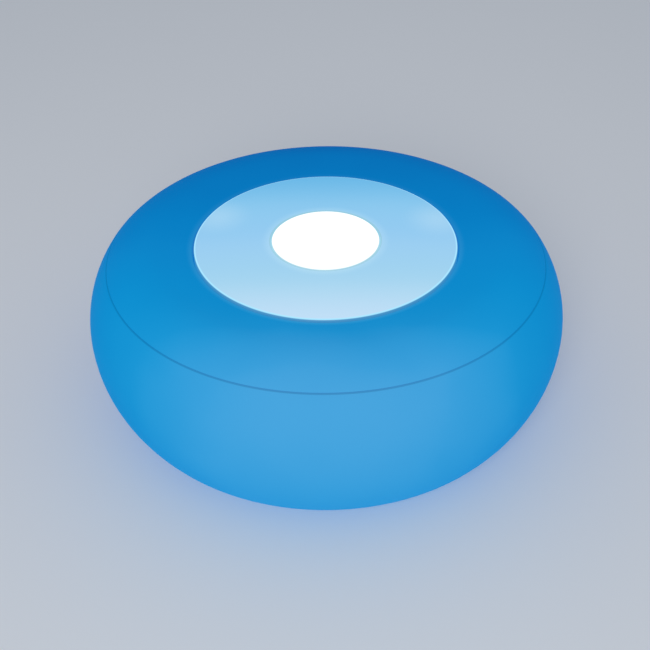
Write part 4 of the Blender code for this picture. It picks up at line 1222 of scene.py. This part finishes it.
def in_quarters(node):
    low, high = box_mm(node)
    middle = (low + high) / 2
    return lambda finish: (finish.x.away_from(0) - middle.x, finish.y.away_from(0) - middle.y)


def round_strip(finish):
    low, high = box_mm("side_led_1")
    angle = finish.x.math("ARCTAN2", finish.y, finish.x)
    return finish.r * angle.from_nearest(math.tau / 6), finish.z - (low.z + high.z) / 2


BLUE_LIGHT, WHITE_LIGHT = (0.10, 0.45, 1.0), (1.0, 1.0, 1.0)
button_lamp = lamp("button_lamp_lit", WHITE_LIGHT, in_quarters("button_led_1"))
lens_lamp = lamp("lens_lamp_lit", BLUE_LIGHT, in_quarters("lens_led_1"))
side_lamp = lamp("side_lamp_lit", BLUE_LIGHT, round_strip)

# %% Put the finishes on the frame's own pieces
BY_SLOT = {
    "white_plastic": white, "black_plastic": black, "connector_nylon": nylon, "battery_foil": foil,
    "red_insulation": red_wire, "black_insulation": black_wire, "board_green": green_board,
    "board_white": white_board, "plated_steel": plated, "chip_epoxy": epoxy, "aluminium_can": can,
    "ribbon_film": ribbon,
}
BY_NAME = {"chip_antenna": antenna_ceramic, "power_inductor": inductor_ferrite}
kept = 0
for part in frame["record"]["subparts"]:
    name, slot = part["node"], part["material_slot"]
    finish = BY_SLOT.get(slot) or BY_NAME.get(name)
    if finish:
        frame["nodes"][name].material_slots[0].material = finish.material
        kept += 1
print(kept, "frame pieces have their own finish")


# %% [markdown]
# ## Put the pieces on the frame
# Each new piece rides on the body that its frame piece belongs to, stands in for that piece, and takes the
# finishes given for it.

# %% Find the faces that take a second finish
def paint(piece, wanted):
    """Puts the faces that pass a test on their middle, in millimetres, in the second slot."""
    painted = 0
    for face in piece.data.polygons:
        face.material_index = int(wanted(face.center / MM))
        painted += face.material_index
    print(f"{piece.name}: {painted} of {len(piece.data.polygons)} faces take the second finish")


def outside_lower(r, z):
    if z < CORNER[1]:
        return z < BOTTOM_Z + 1.2 or math.hypot(r - CORNER[0], z - CORNER[1]) > CORNER_R - WALL / 2
    if z < EQUATOR_Z:
        return math.hypot(r - LOWER_SIDE[0], z - LOWER_SIDE[1]) > LOWER_SIDE_R - WALL / 2
    if z > lower_rim_z - 0.01:
        return False
    return math.hypot(r - UPPER_SIDE[0], z - UPPER_SIDE[1]) > UPPER_SIDE_R - WALL / 2 or z > 32 and (
        math.hypot(r - SHOULDER[0], z - SHOULDER[1]) > SHOULDER_R - WALL / 2
    )


def outside_upper(r, z):
    if r > dish_top[0]:
        return math.hypot(r - SHOULDER[0], z - SHOULDER[1]) > SHOULDER_R - 0.3 and z > upper_rim_z + 0.01
    return z > (dish_z(r) - LIP_ROUND if r > recess_r + 0.1 else ledge_z - 0.1)


def on_tongue(middle):
    aside = middle - charge_middle
    across = abs(aside.x) < TONGUE_HALF_X + NEAR_FACE and abs(aside.z) < TONGUE_HALF_Z + NEAR_FACE
    return across and middle.y > mouth_low.y + NEAR_FACE


def on_marks(middle):
    return middle.y > panel_face + 0.005 and middle.z > switch_middle.z


def in_jack_bore(middle):
    return math.hypot(middle.x - jack_middle.x, middle.z - jack_axis_z) < JACK_BORE_R + 0.05


# The shells' inner and gap faces go in the second slot, which holds the painted shade copy of the glow.
paint(lower_shell, lambda middle: not outside_lower(math.hypot(middle.x, middle.y), middle.z))
paint(upper_shell, lambda middle: not outside_upper(math.hypot(middle.x, middle.y), middle.z))
paint(charge_socket, on_tongue)
paint(audio_jack, in_jack_bore)
paint(port_panel, on_marks)


# %% Place the new pieces
def stands_for(piece, node, body, slot, *finishes):
    places = [face.material_index for face in piece.data.polygons]
    piece.data.materials.clear()
    for finish in finishes:
        piece.data.materials.append(finish.material)
    piece.data.polygons.foreach_set("material_index", [min(place, len(finishes) - 1) for place in places])
    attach(piece, body)
    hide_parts(node)


stands_for(lower_shell, "lower_shell", "body", "opal_shell", opal_outside, opal_painted_shade)
stands_for(upper_shell, "upper_shell", "body", "opal_shell", opal_outside, opal_painted_shade)
stands_for(top_lens, "top_lens", "body", "frosted_lens", frosted)
stands_for(power_button, "power_button", "button", "lit_button", lit_button)
stands_for(foot_ring, "foot_ring", "body", "foot_silicone", silicone)
stands_for(port_panel, "port_panel", "body", "panel_plastic", panel_grain, black)
stands_for(charge_socket, "charge_socket", "body", "plated_steel", plated, contacts)
stands_for(audio_jack, "audio_jack", "body", "black_plastic", black, plated)
stands_for(slide_knob, "slide_switch_knob", "power_switch", "white_plastic", white)
stands_for(button_spring, "button_spring", "body", "spring_steel", plated)
LAMP_FINISHES = {"button": button_lamp, "lens": lens_lamp, "side": side_lamp}
SLOT_OF = {part["node"]: part["material_slot"] for part in frame["record"]["subparts"]}
for node, piece in lamps.items():
    stands_for(piece, node, "body", "led_lens", LAMP_FINISHES[node.split("_")[0]])
for node, piece in (screws | board_pieces | {"battery_pack": battery}).items():
    stands_for(piece, node, "body", SLOT_OF[node], BY_SLOT[SLOT_OF[node]])
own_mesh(button_spring)
print("pieces placed")


# %% [markdown]
# ## Floor, light and camera
# A pale floor and a dim, pale room keep the glow believable. One large soft lamp stands in front, beyond
# the camera, so the front is brighter than the sides, and the curves fall away gently.

# %% Lay the floor
nothing_selected()
bpy.ops.mesh.primitive_circle_add(vertices=64, radius=3.0, fill_type="NGON")
floor = bpy.context.object
floor.name = "studio_floor"
pale = Finish("pale_floor", Specular_IOR_Level=0.0)
pale.wears(Base_Color=pale.mix(pale.noise(300, 2.0), (0.80, 0.80, 0.81), (0.84, 0.84, 0.84)), Roughness=0.8)
floor.data.materials.append(pale.material)

# %% Set the lights
scene = bpy.context.scene
scene.view_settings.view_transform = "Standard"
world = bpy.data.worlds.new("pale_room")
scene.world = world
world.use_nodes = True
room = world.node_tree.nodes["Background"]
room.inputs["Color"].default_value = (0.80, 0.88, 1.0, 1)
room.inputs["Strength"].default_value = 0.5
LAMP_SPREAD = 90


def soft_lamp(name, place, aim, size, power):
    nothing_selected()
    bpy.ops.object.light_add(type="AREA", location=place)
    lamp = bpy.context.object
    lamp.name = name
    lamp.data.shape = "DISK"
    lamp.data.size = size
    lamp.data.energy = power
    lamp.data.spread = math.radians(LAMP_SPREAD)
    lamp.rotation_euler = (Vector(aim) - Vector(place)).to_track_quat("-Z", "Y").to_euler()


soft_lamp("front_lamp", (-0.10, -0.75, 0.50), (0, 0, 0.02), 0.5, 0.9)

# %% Set the camera
LENS_MM, CAMERA_FAR, CAMERA_UP, CAMERA_ROLL = 57.8, 274.2, 37.24, -0.71
aim = Vector((-0.39, 0, 18.0)) * MM
up_angle, roll = math.radians(CAMERA_UP), math.radians(CAMERA_ROLL)
right = Vector((1, 0, 0))
up = Vector((0, math.sin(up_angle), math.cos(up_angle)))
back = Vector((0, -math.cos(up_angle), math.sin(up_angle)))
camera_x = math.cos(roll) * right + math.sin(roll) * up
camera_y = -math.sin(roll) * right + math.cos(roll) * up
nothing_selected()
bpy.ops.object.camera_add()
camera = bpy.context.object
camera.matrix_world = Matrix.Translation(aim + back * CAMERA_FAR * MM) @ Matrix(
    (camera_x, camera_y, back)
).transposed().to_4x4()
camera.data.lens = LENS_MM
camera.data.clip_start = 0.01
scene.camera = camera
print(f"camera {CAMERA_FAR:.0f} mm away, {CAMERA_UP:.1f} degrees up")
